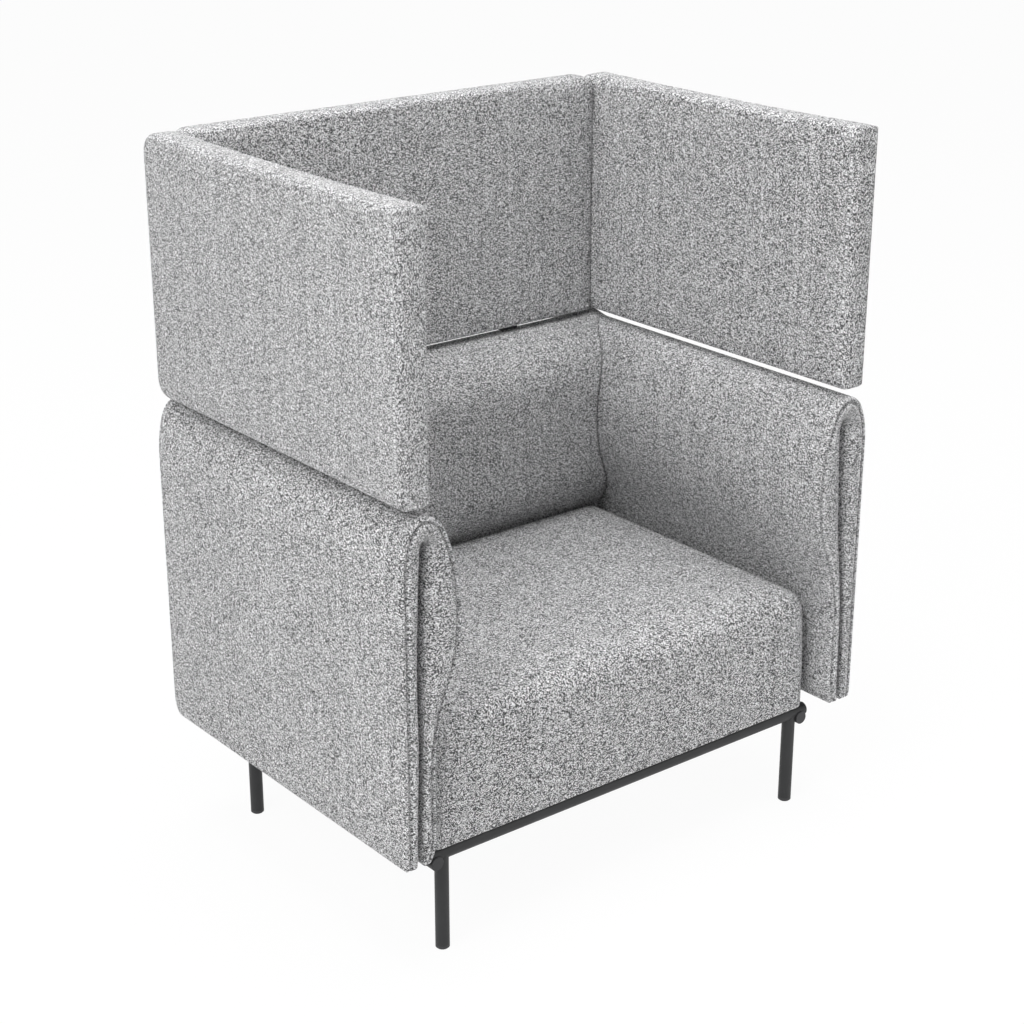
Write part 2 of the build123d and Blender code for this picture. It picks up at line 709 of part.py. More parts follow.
def through_bolt(start, end):
    """A bolt with a hexagon head at one end and a nut at the other."""
    direction = (Vector(*end) - Vector(*start)).normalized()
    lift = direction * BOLT_HEAD_HEIGHT
    heads = hex_rod(tuple(Vector(*start) - lift), start, BOLT_HEAD_DIAMETER)
    heads += hex_rod(end, tuple(Vector(*end) + lift), BOLT_HEAD_DIAMETER)
    return heads + rod(start, end, BOLT_DIAMETER / 2)


def bolt_room(start, end):
    """The space a bolt and its two heads take up in the foam round it."""
    direction = (Vector(*end) - Vector(*start)).normalized()
    lift = direction * (BOLT_HEAD_HEIGHT + POCKET_CLEARANCE)
    wide = BOLT_HEAD_DIAMETER + 2 * POCKET_CLEARANCE
    return hex_rod(tuple(Vector(*start) - lift), tuple(Vector(*end) + lift), wide)


def bolt_hole(start, end):
    """A round hole for the shank, with the seats of its two heads cut square to it."""
    direction = (Vector(*end) - Vector(*start)).normalized()
    lift = direction * (BOLT_HEAD_HEIGHT + POCKET_CLEARANCE)
    wide = BOLT_HEAD_DIAMETER + 2 * POCKET_CLEARANCE
    heads = hex_rod(tuple(Vector(*start) - lift), start, wide)
    heads += hex_rod(end, tuple(Vector(*end) + lift), wide)
    return heads + rod(start, end, bolt_hole_radius)


def lower_rear_corner(inset):
    """What the arm's two leaves lose at their lower rear corner, to leave it rounded."""
    reach = PAD_REAR_CORNER * 1.08
    radius = math.hypot(reach, reach - PAD_REAR_CORNER) - inset
    y, z = arm_rear_y - reach, pad_bottom_z + reach
    square = box_between(
        (arm_bulge_x, y, pad_bottom_z - 1), (arm_outer_x + 1, arm_rear_y + 1, z)
    )
    return square - rod((arm_bulge_x - 1, y, z), (arm_outer_x + 2, y, z), radius)


def arm_pieces():
    """Every piece of the right arm."""
    outline = arm_outline()
    half_slot = slot_width / 2
    half_cut = half_slot + PAD_FOAM_INSET
    inset_start, inset_end = arm_front_y + PAD_FOAM_INSET, arm_rear_y - PAD_FOAM_INSET
    outer = folded_block(
        outline, slot_curve(-half_slot), slot_curve(half_slot), arm_front_y, arm_rear_y
    )
    outer -= lower_rear_corner(0)
    core = folded_core(outline, slot_curve(-half_cut), slot_curve(half_cut), inset_start, inset_end)
    core -= lower_rear_corner(PAD_FOAM_INSET)
    cover = outer - core

    near = slot_width / 2 + BOARD_SETBACK
    far = near + BOARD_THICKNESS
    board_start, board_end = arm_front_y + BOARD_END_MARGIN, arm_rear_y - BOARD_END_MARGIN
    span = (BOARD_TOP_Z, board_bottom_z, board_start, board_end)
    inner_board = strip_beside_slot(-far, -near, *span)
    outer_board = strip_beside_slot(near, far, *span)
    foam = core - inner_board - outer_board
    bars = [arm_bar(bar_y) for bar_y in arm_bar_ys]
    bolts = []
    for bar_y in arm_bar_ys:
        for axis in arm_bolt_axes(bar_y):
            foam -= bolt_room(*axis)
            inner_board -= bolt_hole(*axis)
            outer_board -= bolt_hole(*axis)
            cover -= hex_rod(*axis, 2 * bolt_hole_radius / math.cos(math.pi / 6))
            bolts.append(through_bolt(*axis))
    return {
        "arm_support_bars": bars,
        "arm_inner_board": [inner_board],
        "arm_outer_board": [outer_board],
        "arm_foam": [foam],
        "arm_cover": [cover],
        "arm_bolts": bolts,
    }


# ---------------------------------------------------------------- folded back
def back_outline():
    """The back's end view in the YZ plane, without its slot."""
    crest_rear = (back_rear_y - BACK_SHOULDER_RADIUS, back_crest_z)
    crest_front = (back_bulge_y + back_crest_radius, back_crest_z)
    bulge_foot = (back_bulge_y, BACK_BULGE_LOW_Z)
    front = [
        [crest_rear, crest_front],
        arc((crest_front[0], BACK_BULGE_TOP_Z), back_crest_radius, 90, 180),
        [(back_bulge_y, BACK_BULGE_TOP_Z), bulge_foot],
    ]
    front += ogee(bulge_foot, (back_foot_y, BACK_FOOT_Z))
    rear = [arc((crest_rear[0], back_crest_z - BACK_SHOULDER_RADIUS), BACK_SHOULDER_RADIUS, 90, 0)]
    return folded_outline(front, rear)


def back_slot_wall(shift):
    """A straight wall of the back's slot."""
    return [(back_slot_y + shift, BACK_SLOT_TOP_Z), (back_slot_y + shift, pad_bottom_z)]


def along_x(shape):
    """A shape drawn with its end view in the XZ plane, turned so that view lies in the YZ plane."""
    return Rot(0, 0, 90) * shape


def room_between_arms(clearance):
    """The space between the two arms, bounded by their curved inner sides."""
    curves = arm_inner_curves(clearance)
    (top_x, top_z), (foot_x, foot_z) = curves[0][0], curves[-1][-1]
    high = back_crest_z + SCREEN_THICKNESS
    low = pad_bottom_z - SCREEN_THICKNESS
    right = [[(top_x, high), (top_x, top_z)]] + curves + [[(foot_x, foot_z), (foot_x, low)]]
    left = [[(-x, z) for x, z in reversed(points)] for points in reversed(right)]
    across_top = [[(-top_x, high), (top_x, high)]]
    across_foot = [[(foot_x, low), (-foot_x, low)]]
    edges = outline_edges(right + across_foot + left + across_top)
    return slab(edges, back_bulge_y - SCREEN_THICKNESS, back_rear_y + SCREEN_THICKNESS)


def coarse_room_between_arms(clearance):
    """The same space with few flat faces, for the foam inside the back."""
    curves = arm_inner_curves(clearance)
    (top_x, _), (foot_x, foot_z) = curves[0][0], curves[-1][-1]
    right = [(top_x, back_crest_z + SCREEN_THICKNESS)] + sampled(curves, 3)
    right += [(foot_x, foot_z), (foot_x, pad_bottom_z - SCREEN_THICKNESS)]
    left = [(-x, z) for x, z in reversed(right)]
    return polygon_slab(right + left, back_bulge_y - SCREEN_THICKNESS, back_rear_y + SCREEN_THICKNESS)


def back_upright(side):
    """A flat bar: a foot welded behind the rear cross tube, then up the slot into the back screen."""
    x = side * back_upright_x
    low_x, high_x = x - SUPPORT_BAR_WIDTH / 2, x + SUPPORT_BAR_WIDTH / 2
    rear_y = upright_front_y + SUPPORT_BAR_THICKNESS
    foot = box_between(
        (low_x, rear_leg_y, back_foot_z), (high_x, rear_y, back_foot_z + SUPPORT_BAR_THICKNESS)
    )
    post = box_between((low_x, upright_front_y, back_foot_z), (high_x, rear_y, upright_top_z))
    bar = foot + post
    heel = bar.edges().filter_by(Axis.X).sort_by(lambda e: e.center().Y - e.center().Z)[-1]
    bar = fillet(heel, BAR_BEND_RADIUS)
    bar -= cross_tube_envelope(rear_leg_y)
    for axis in back_bolt_axes(side) + post_screw_axes(side):
        bar -= rod(*axis, bolt_hole_radius)
    return bar


def back_bolt_axes(side):
    reach = bolt_half_length()
    x = side * back_upright_x
    return [((x, back_slot_y - reach, z), (x, back_slot_y + reach, z)) for z in bolt_heights]


def upright_room(side):
    """The passage for an upright through the crest and into the back screen."""
    x = side * back_upright_x
    gap = POCKET_CLEARANCE
    half = SUPPORT_BAR_WIDTH / 2 + gap
    rear_y = upright_front_y + SUPPORT_BAR_THICKNESS
    return box_between(
        (x - half, upright_front_y - gap, BACK_SLOT_TOP_Z), (x + half, rear_y + gap, upright_top_z + gap)
    )


def back_pieces():
    outline = back_outline()
    half_slot = slot_width / 2
    half_cut = half_slot + PAD_FOAM_INSET
    reach = arm_outer_x
    outer = along_x(
        folded_block(outline, back_slot_wall(-half_slot), back_slot_wall(half_slot), -reach, reach)
    )
    outer = outer & room_between_arms(BACK_END_CLEARANCE)
    core = along_x(
        folded_core(outline, back_slot_wall(-half_cut), back_slot_wall(half_cut), -reach, reach)
    )
    core = core & coarse_room_between_arms(BACK_END_CLEARANCE + PAD_FOAM_INSET)
    cover = outer - core
    near = half_slot + BOARD_SETBACK
    half = arm_bulge_x - BOARD_END_MARGIN
    front_y = back_slot_y - near - BOARD_THICKNESS
    rear_y = back_slot_y + near
    front_board = box_between(
        (-half, front_y, board_bottom_z), (half, front_y + BOARD_THICKNESS, BOARD_TOP_Z)
    )
    rear_board = box_between(
        (-half, rear_y, board_bottom_z), (half, rear_y + BOARD_THICKNESS, BOARD_TOP_Z)
    )
    foam = core - front_board - rear_board
    bolts = []
    for side in SIDES.values():
        foam -= upright_room(side)
        cover -= upright_room(side)
        for axis in back_bolt_axes(side):
            foam -= bolt_room(*axis)
            front_board -= bolt_hole(*axis)
            rear_board -= bolt_hole(*axis)
            cover -= hex_rod(*axis, 2 * bolt_hole_radius / math.cos(math.pi / 6))
            bolts.append(through_bolt(*axis))
    save("back_inner_board", front_board)
    save("back_outer_board", rear_board)
    save("back_foam", foam)
    save("back_cover", cover)
    save("back_bolts", *bolts)


# ---------------------------------------------------------------- acoustic screens
def panel(length, height, corner_low, corner_high, thickness, edge):
    """A flat panel in the XZ plane from the origin, with rounded corners and bevelled edges."""
    body = box_between((0, -thickness / 2, 0), (length, thickness / 2, height))
    uprights = body.edges().filter_by(Axis.Y).group_by(Axis.X)
    body = fillet(uprights[0], corner_low)
    far_edges = body.edges().filter_by(Axis.Y).group_by(Axis.X)[-1]
    body = fillet(far_edges, corner_high)
    faces = body.faces().filter_by(Axis.Y)
    return chamfer(faces.edges(), edge)


def panel_core(length, height, inset, thickness, corner, chamfer_size):
    """The foam of a panel: cut corners and cut edges that stay inside the rounded cover."""
    half = thickness / 2 - inset
    body = box_between((inset, -half, inset), (length - inset, half, height - inset))
    body = chamfer(body.edges().filter_by(Axis.Y), corner)
    faces = body.faces().filter_by(Axis.Y)
    return chamfer(faces.edges(), chamfer_size)


def side_screen_place():
    """From the panel's own plane to the right-hand screen, running front to back."""
    return Pos(screen_outer_x - SCREEN_THICKNESS / 2, screen_front_y, screen_bottom_z) * Rot(0, 0, 90)


def back_screen_place():
    return Pos(-back_screen_half_width, screen_rear_y - SCREEN_THICKNESS / 2, screen_bottom_z)


def back_board_rear_y():
    """The back screen's board stands in front of the uprights, against them."""
    return upright_front_y - SCREW_HOLE_CLEARANCE


def corner_bracket(side, z):
    """A steel angle that joins the back screen's board to a side screen's board."""
    rear = back_board_rear_y() - SCREEN_BOARD_THICKNESS
    outer_x = screen_outer_x - SCREEN_THICKNESS / 2 - SCREEN_BOARD_THICKNESS / 2
    low_z, high_z = z - BRACKET_WIDTH / 2, z + BRACKET_WIDTH / 2
    flat = box_between((outer_x - BRACKET_LENGTH, rear - BRACKET_THICKNESS, low_z), (outer_x, rear, high_z))
    turned = box_between((outer_x - BRACKET_THICKNESS, rear - BRACKET_LENGTH, low_z), (outer_x, rear, high_z))
    angle = flat + turned
    for axis in bracket_screw_axes(1.0, z):
        angle -= rod(*axis, screw_hole_radius)
    return mirrored(angle, side)


def bracket_levels():
    return [screen_bottom_z + BRACKET_LOW_INSET, screen_top_z - BRACKET_HIGH_INSET]


def bracket_screw_axes(side, z):
    """Each bracket screw's axis, from its head into a board."""
    rear = back_board_rear_y() - SCREEN_BOARD_THICKNESS
    outer_x = screen_outer_x - SCREEN_THICKNESS / 2 - SCREEN_BOARD_THICKNESS / 2
    into = BRACKET_THICKNESS + SCREEN_BOARD_THICKNESS * 0.7
    back_x = side * (outer_x - BRACKET_LENGTH + BRACKET_THICKNESS * 5)
    side_y = rear - BRACKET_LENGTH + BRACKET_THICKNESS * 5
    face_x = side * (outer_x - BRACKET_THICKNESS)
    front_y = rear - BRACKET_THICKNESS
    return [
        ((back_x, front_y, z), (back_x, front_y + into, z)),
        ((face_x, side_y, z), (face_x + side * into, side_y, z)),
    ]


def post_screw_axes(side):
    """Screws from behind each upright into the back screen's board."""
    x = side * back_upright_x
    rear = upright_front_y + SUPPORT_BAR_THICKNESS
    front = rear - SUPPORT_BAR_THICKNESS - SCREW_HOLE_CLEARANCE - SCREEN_BOARD_THICKNESS * 0.7
    heights = [screen_bottom_z + UPRIGHT_REACH * share for share in (0.25, 0.8)]
    return [((x, rear, z), (x, front, z)) for z in heights]


def short_screw(start, end):
    along = Vector(*end) - Vector(*start)
    return screw(start, tuple(along.normalized()), along.length)


def screw_room(start, end):
    """The space a screw takes up, head and shank, with clearance."""
    direction = (Vector(*end) - Vector(*start)).normalized()
    lift = direction * (SCREW_HEAD_HEIGHT + POCKET_CLEARANCE)
    tip = tuple(Vector(*end) + direction * SCREW_HOLE_CLEARANCE)
    wide = SCREW_HEAD_DIAMETER + 2 * POCKET_CLEARANCE
    return hex_rod(tuple(Vector(*start) - lift), start, wide) + rod(start, tip, screw_hole_radius)


def bracket_room(side, z):
    """A bracket's own space in the foam and covers, with clearance."""
    gap = POCKET_CLEARANCE
    rear = back_board_rear_y() - SCREEN_BOARD_THICKNESS + gap
    outer_x = screen_outer_x - SCREEN_THICKNESS / 2 - SCREEN_BOARD_THICKNESS / 2 + gap
    wide = BRACKET_LENGTH + 2 * gap
    thick = BRACKET_THICKNESS + 2 * gap
    low_z, high_z = z - BRACKET_WIDTH / 2 - gap, z + BRACKET_WIDTH / 2 + gap
    flat = box_between((outer_x - wide, rear - thick, low_z), (outer_x, rear, high_z))
    turned = box_between((outer_x - thick, rear - wide, low_z), (outer_x, rear, high_z))
    return mirrored(flat + turned, side)


def screen_boards():
    """The back screen's board and the right-hand screen's board."""
    margin = SCREEN_BOARD_MARGIN
    low_z, high_z = screen_bottom_z + margin, screen_top_z - margin
    rear = back_board_rear_y()
    back = box_between(
        (-back_screen_half_width + margin, rear - SCREEN_BOARD_THICKNESS, low_z),
        (back_screen_half_width - margin, rear, high_z),
    )
    middle_x = screen_outer_x - SCREEN_THICKNESS / 2
    half = SCREEN_BOARD_THICKNESS / 2
    side = box_between(
        (middle_x - half, screen_front_y + margin, low_z), (middle_x + half, screen_rear_y - margin, high_z)
    )
    side = fillet(side.faces().sort_by(Axis.Y)[-1].edges().filter_by(Axis.X), margin)
    return back, side


def screen_pieces():
    length = screen_rear_y - screen_front_y
    thickness = SCREEN_THICKNESS
    edge = SCREEN_EDGE_BEVEL
    side_skin = side_screen_place() * panel(
        length, SCREEN_HEIGHT, SCREEN_FRONT_CORNER, SCREEN_REAR_CORNER, thickness, edge
    )
    side_core = side_screen_place() * panel_core(
        length, SCREEN_HEIGHT, FABRIC, thickness, SCREEN_REAR_CORNER * 0.65, SCREEN_FOAM_CHAMFER
    )
    width = 2 * back_screen_half_width
    back_skin = back_screen_place() * panel(
        width, SCREEN_HEIGHT, BACK_SCREEN_CORNER, BACK_SCREEN_CORNER, thickness, edge
    )
    back_core = back_screen_place() * panel_core(
        width, SCREEN_HEIGHT, FABRIC, thickness, BACK_SCREEN_CORNER * 0.8, SCREEN_FOAM_CHAMFER
    )
    back_board, side_board = screen_boards()
    side_foam, back_foam = side_core - side_board, back_core - back_board
    side_cover, back_cover = side_skin - side_core, back_skin - back_core

    brackets, bracket_screws = [], []
    for z in bracket_levels():
        for side in SIDES.values():
            brackets.append(corner_bracket(side, z))
            back_foam -= bracket_room(side, z)
            back_cover -= bracket_room(side, z)
            for axis in bracket_screw_axes(side, z):
                bracket_screws.append(short_screw(*axis))
                back_foam -= screw_room(*axis)
                back_board -= screw_room(*axis)
        side_foam -= bracket_room(1.0, z)
        side_cover -= bracket_room(1.0, z)
        for axis in bracket_screw_axes(1.0, z):
            side_foam -= screw_room(*axis)
            side_board -= screw_room(*axis)

    post_screws = []
    for side in SIDES.values():
        back_foam -= upright_room(side)
        back_cover -= upright_room(side)
        for axis in post_screw_axes(side):
            post_screws.append(short_screw(*axis))
            back_foam -= screw_room(*axis)
            back_board -= screw_room(*axis)

    save("screen_back_board", back_board)
    save("screen_back_foam", back_foam)
    save("screen_back_cover", back_cover)
    for name, side in SIDES.items():
        save(f"screen_side_board_{name}", mirrored(side_board, side))
        save(f"screen_side_foam_{name}", mirrored(side_foam, side))
        save(f"screen_side_cover_{name}", mirrored(side_cover, side))
    save("screen_corner_brackets", *brackets)
    save("screen_bracket_screws", *bracket_screws)
    save("screen_post_screws", *post_screws)


# ---------------------------------------------------------------- the whole chair
def base_pieces():
    save("front_cross_tube", tube(*cross_tube_axis(front_leg_y)))
    save("rear_cross_tube", tube(*cross_tube_axis(rear_leg_y)))
    for name, side in SIDES.items():
        save(f"side_tube_{name}", side_tube(side))
        save(f"leg_front_{name}", leg(side, front_leg_y))
        save(f"leg_rear_{name}", leg(side, rear_leg_y))
        save(f"back_upright_{name}", back_upright(side))
    save("tube_end_plugs", *tube_end_plugs())
    save("leg_glides", *leg_glides())
    save("seat_mounting_tabs", *seat_mounting_tabs())
    save("seat_tab_screws", *seat_tab_screws())


def seat_assembly():
    front, rear, side = seat_rails()
    save("seat_front_rail", front)
    save("seat_rear_rail", rear)
    save("seat_side_rail_right", side)
    save("seat_side_rail_left", mirrored(side, -1.0))
    save("seat_corner_blocks", *seat_corner_blocks())
    lengthwise, crosswise = seat_webbing()
    save("seat_webbing_lengthwise", *lengthwise)
    save("seat_webbing_crosswise", *crosswise)
    foam, cover, lining = seat_pieces()
    save("seat_foam", foam)
    save("seat_cover", cover)
    save("seat_underside_lining", lining)


def arm_assemblies():
    pieces = arm_pieces()
    for name, side in SIDES.items():
        for node, solids in pieces.items():
            save(f"{node}_{name}", *[mirrored(solid, side) for solid in solids])


os.makedirs("parts", exist_ok=True)
base_pieces()
seat_assembly()
arm_assemblies()
back_pieces()
screen_pieces()
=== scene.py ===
import logging
import math
from dataclasses import dataclass, field
from enum import Enum
from typing import Any, Callable, Dict, List, Sequence, Tuple, Union

import bmesh
import bpy
import numpy as np
from mathutils import Matrix, Vector


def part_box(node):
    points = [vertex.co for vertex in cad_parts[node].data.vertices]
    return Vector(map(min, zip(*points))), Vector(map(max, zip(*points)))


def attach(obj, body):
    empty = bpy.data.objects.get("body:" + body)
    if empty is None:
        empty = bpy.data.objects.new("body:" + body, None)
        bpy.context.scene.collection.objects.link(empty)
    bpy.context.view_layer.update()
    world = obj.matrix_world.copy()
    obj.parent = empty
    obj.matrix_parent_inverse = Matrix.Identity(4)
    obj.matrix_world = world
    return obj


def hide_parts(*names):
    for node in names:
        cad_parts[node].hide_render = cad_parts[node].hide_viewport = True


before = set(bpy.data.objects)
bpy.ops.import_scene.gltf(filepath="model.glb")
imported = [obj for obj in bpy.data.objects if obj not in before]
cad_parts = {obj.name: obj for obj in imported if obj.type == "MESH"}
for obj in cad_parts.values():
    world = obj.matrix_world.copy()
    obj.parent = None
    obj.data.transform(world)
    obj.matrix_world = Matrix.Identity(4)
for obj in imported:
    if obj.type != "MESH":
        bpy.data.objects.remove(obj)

# All lengths are metres in the construction's frame: +X to the right as seen from the front,
# +Y to the back, +Z up. Left and right are as seen from the front. Cloth coordinates are metres
# across, metres along and a patch mark, which keeps the weave from repeating between patches.
BODY = "root"
WHITE = (1.0, 1.0, 1.0, 1.0)
LOG = logging.getLogger("lounge_chair")

# Points that agree to so many decimals are sewn. The offset keeps a size that lies half-way
# between two rounded values from falling to either side.
JOIN_DECIMALS = 6
JOIN_OFFSET = 3.1e-7

Array = np.ndarray
Material = bpy.types.Material
Pair = Tuple[float, float]
Triple = Tuple[float, float, float]
Colour = Triple


# ---- shader expressions
class Wire:
    """A node's output that can be written into an expression."""

    def __init__(self, graph: "Graph", socket: Any) -> None:
        """Keeps the socket and the graph that its expressions add nodes to."""
        self.graph = graph
        self.socket = socket

    def maths(self, operation: str, *others: "Term") -> "Wire":
        """Adds a Math node with this wire first.

        Args:
            operation: the Math node's operation.
            others: what its further inputs take.

        Returns:
            The node's value.
        """
        terms = {0: self}
        terms.update({index + 1: other for index, other in enumerate(others)})
        return self.graph.add("ShaderNodeMath", {"operation": operation}, terms)

    def __add__(self, other: "Term") -> "Wire":
        """The sum."""
        return self.maths("ADD", other)

    def __sub__(self, other: "Term") -> "Wire":
        """The difference."""
        return self.maths("SUBTRACT", other)

    def __rsub__(self, other: "Term") -> "Wire":
        """The difference from a number."""
        return self.graph.add("ShaderNodeMath", {"operation": "SUBTRACT"}, {0: other, 1: self})

    def __mul__(self, other: "Term") -> "Wire":
        """The product."""
        return self.maths("MULTIPLY", other)

    __radd__ = __add__
    __rmul__ = __mul__

    def power(self, exponent: "Term") -> "Wire":
        """This wire raised to an exponent."""
        return self.maths("POWER", exponent)

    def fraction(self) -> "Wire":
        """What is left above the whole number below."""
        return self.maths("FRACT")

    def clipped(self) -> "Wire":
        """The value kept between 0 and 1."""
        return self.graph.add("ShaderNodeClamp", {}, {0: self})

    def stretched(self, low: float, high: float) -> "Wire":
        """The range from low to high spread over 0 to 1."""
        return ((self - low) * (1.0 / (high - low))).clipped()


Term = Union[Wire, float]


class Graph:
    """The nodes of a material or of the world, which expressions and finishes add to."""

    def __init__(self, name: str, world: bool = False) -> None:
        """Starts an empty material or world.

        Args:
            name: its name.
            world: whether it is the world.
        """
        self.owner = bpy.data.worlds.new(name) if world else bpy.data.materials.new(name)
        self.owner.use_nodes = True
        self.tree = self.owner.node_tree
        self.tree.nodes.clear()
        self.last = "ShaderNodeOutputWorld" if world else "ShaderNodeOutputMaterial"

    def add(
        self,
        kind: str,
        settings: Dict[str, Any],
        inputs: Dict[Union[int, str], Any],
        output: Union[int, str] = 0,
    ) -> Wire:
        """Adds any node.

        Args:
            kind: the node's type.
            settings: what is set on it first; "stops" holds a ramp's places and colours.
            inputs: a value or a wire for each socket, by name or index.
            output: the socket that is wanted.

        Returns:
            That output as a wire.
        """
        node = self.tree.nodes.new(kind)
        for key, value in settings.items():
            if key == "stops":
                self._set_stops(node.color_ramp, value)
            else:
                setattr(node, key, value)
        for key, value in inputs.items():
            if isinstance(value, Wire):
                self.tree.links.new(value.socket, node.inputs[key])
            else:
                node.inputs[key].default_value = value
        return Wire(self, node.outputs[output])

    @staticmethod
    def _set_stops(ramp: Any, stops: Sequence[Tuple[float, Colour]]) -> None:
        """Gives a colour ramp its stops.

        Args:
            ramp: the ramp, which has two stops so far.
            stops: a place and a colour for each.
        """
        while len(ramp.elements) < len(stops):
            ramp.elements.new(0.5)
        for element, (place, colour) in zip(ramp.elements, stops):
            element.position = place
            element.color = (*colour, 1.0)

    def place(self) -> Wire:
        """Where a point lies in the construction's frame, in metres."""
        return self.add("ShaderNodeTexCoord", {}, {}, "Object")

    def split(self, vector: Wire) -> Tuple[Wire, ...]:
        """A vector's three parts."""
        outputs = self.add("ShaderNodeSeparateXYZ", {}, {0: vector}).socket.node.outputs
        return tuple(Wire(self, outputs[index]) for index in range(3))

    def join(self, x: Term, y: Term, z: Term) -> Wire:
        """A vector from three parts."""
        return self.add("ShaderNodeCombineXYZ", {}, {0: x, 1: y, 2: z})

    def scaled(self, vector: Wire, factors: Triple) -> Wire:
        """A vector with each part multiplied by its own number."""
        return self.add("ShaderNodeVectorMath", {"operation": "MULTIPLY"}, {0: vector, 1: factors})

    def noise(self, vector: Wire, scale: float, detail: float, roughness: float = 0.5) -> Wire:
        """Smooth noise round 0.5."""
        inputs = {"Vector": vector, "Scale": scale, "Detail": detail, "Roughness": roughness}
        return self.add("ShaderNodeTexNoise", {}, inputs)

    def chance(self, vector: Wire) -> Wire:
        """A chance value from 0 to 1 for each whole-number place."""
        return self.add("ShaderNodeTexWhiteNoise", {"noise_dimensions": "3D"}, {"Vector": vector})

    def ramp(self, value: Wire, stops: Sequence[Tuple[float, Colour]]) -> Wire:
        """A colour picked along a ramp."""
        return self.add("ShaderNodeValToRGB", {"stops": stops}, {0: value})

    def mixed(self, share: Term, first: Colour, second: Colour) -> Wire:
        """Two colours mixed by a share."""
        inputs = {0: share, 6: (*first, 1.0), 7: (*second, 1.0)}
        return self.add("ShaderNodeMix", {"data_type": "RGBA"}, inputs, 2)

    def bump(self, height: Wire, depth: float, strength: float) -> Wire:
        """A surface normal from a height map."""
        inputs = {"Strength": strength, "Distance": depth, "Height": height}
        return self.add("ShaderNodeBump", {}, inputs)

    def principled(self, **sockets: Any) -> Wire:
        """The usual shader, with an underscore for each space in its sockets' names."""
        inputs = {key.replace("_", " "): value for key, value in sockets.items()}
        return self.add("ShaderNodeBsdfPrincipled", {}, inputs)

    def surface(self, **sockets: Any) -> Material:
        """Ends the material with the usual shader."""
        return self.end(self.principled(**sockets))

    def end(self, shader: Wire) -> Any:
        """Links a shader to the output, and returns the finished material or world."""
        self.tree.links.new(shader.socket, self.tree.nodes.new(self.last).inputs[0])
        return self.owner

    def seen_plainly(self) -> Wire:
        """Tells what is seen from what only lights.

        Returns:
            1 for the camera's rays and for rays through gloss or glass, and 0 for light.
        """
        seen = self.add("ShaderNodeLightPath", {}, {}, "Is Camera Ray")
        rays = seen.socket.node.outputs
        for name in ("Is Glossy Ray", "Is Transmission Ray"):
            seen = seen.maths("MAXIMUM", Wire(self, rays[name]))
        return seen


# ---- finishes
@dataclass(frozen=True)
class MelangeWeave:
    """The covers' plain weave: light and dark fibres twisted in thick, uneven yarns, with painted
    shade in the hollows between the yarns and a painted highlight on their crests.
    """

    name: str = "melange_weave"
    slot: str = "melange_fabric"
    yarn: float = 0.0019
    rise: float = 0.0015
    wander_scale: float = 30.0
    wander: Pair = (0.7, 0.5)
    ridge_power: float = 0.4
    under: float = 0.80
    repeat: float = 7.0
    repeat_share: float = 0.30
    single_share: float = 0.86
    slub_stretch: Pair = (0.16, 5.3)
    slub_share: float = 0.30
    fibre_scale: float = 2.6
    fibre_share: float = 0.34
    # How strongly the yarns' height paints shade into the hollows between yarns and highlight onto
    # their crests.
    yarn_shade_share: float = 0.45
    contrast: float = 1.26
    brightness: float = 0.466
    middle_tone: float = 0.58
    middle_lift: float = 0.66
    places: Tuple[float, ...] = (0.0, 0.24, 0.47, 0.72, 1.0)
    dark: Colour = (0.022, 0.022, 0.023)
    shaded: Colour = (0.095, 0.095, 0.097)
    middle: Colour = (0.355, 0.355, 0.360)
    pale: Colour = (0.780, 0.780, 0.788)
    light: Colour = (0.95, 0.95, 0.96)

    def material(self) -> Material:
        """Builds the weave from the covers' own cloth coordinates.

        Returns:
            The material.
        """
        graph = Graph(self.name)
        weave = graph.add("ShaderNodeAttribute", {"attribute_name": "weave"}, {}, "Vector")
        across, up, patch = graph.split(weave)
        wander = graph.noise(weave, self.wander_scale, 1.0) - 0.5
        across = across * (1.0 / self.yarn) + wander * self.wander[0]
        up = up * (1.0 / self.rise) + wander * self.wander[1]
        column, row = across.maths("FLOOR"), up.maths("FLOOR")
        ridge_across = 1.0 - ((across.fraction() - 0.5) * 2.0).power(2.0)
        ridge_up = 1.0 - ((up.fraction() - 0.5) * 2.0).power(2.0)
        weft_on_top = ((column + row) * 0.5).fraction().maths("GREATER_THAN", 0.25)
        pass_height = self.under + (1.0 - self.under) * weft_on_top
        lift = (ridge_across * ridge_up).power(self.ridge_power) * pass_height

        same_row = (row * (1.0 / self.repeat)).fraction() * self.repeat
        repeated = graph.chance(graph.join(column, same_row.maths("ROUND"), patch))
        single = graph.chance(graph.join(column, row, patch + 0.5))
        along, beside = self.slub_stretch
        slub = graph.noise(graph.join(across * along, row * beside, patch), 1.0, 2.0, 0.6)
        fibre = graph.noise(graph.join(across, up, patch), self.fibre_scale, 1.0, 0.6)
        tone = repeated * self.repeat_share + single * self.single_share
        tone = tone + (slub - 0.5) * self.slub_share + (fibre - 0.5) * self.fibre_share
        # Painted shade and highlight: the colour is made darker in the hollows between the yarns
        # and lighter on their crests, following the yarns' height.
        painted_yarn_shade = (lift - self.middle_lift) * self.yarn_shade_share
        shade = (tone - self.middle_tone) * self.contrast + self.brightness + painted_yarn_shade
        colours = (self.dark, self.shaded, self.middle, self.pale, self.light)
        colour = graph.ramp(shade.clipped(), list(zip(self.places, colours)))
        return graph.surface(
            Base_Color=colour, Roughness=0.94 - 0.10 * lift,
            Normal=graph.bump(lift + fibre * 0.25, 0.0008, 0.7),
            Sheen_Weight=0.10, Sheen_Roughness=0.45, Specular_IOR_Level=0.22,
        )


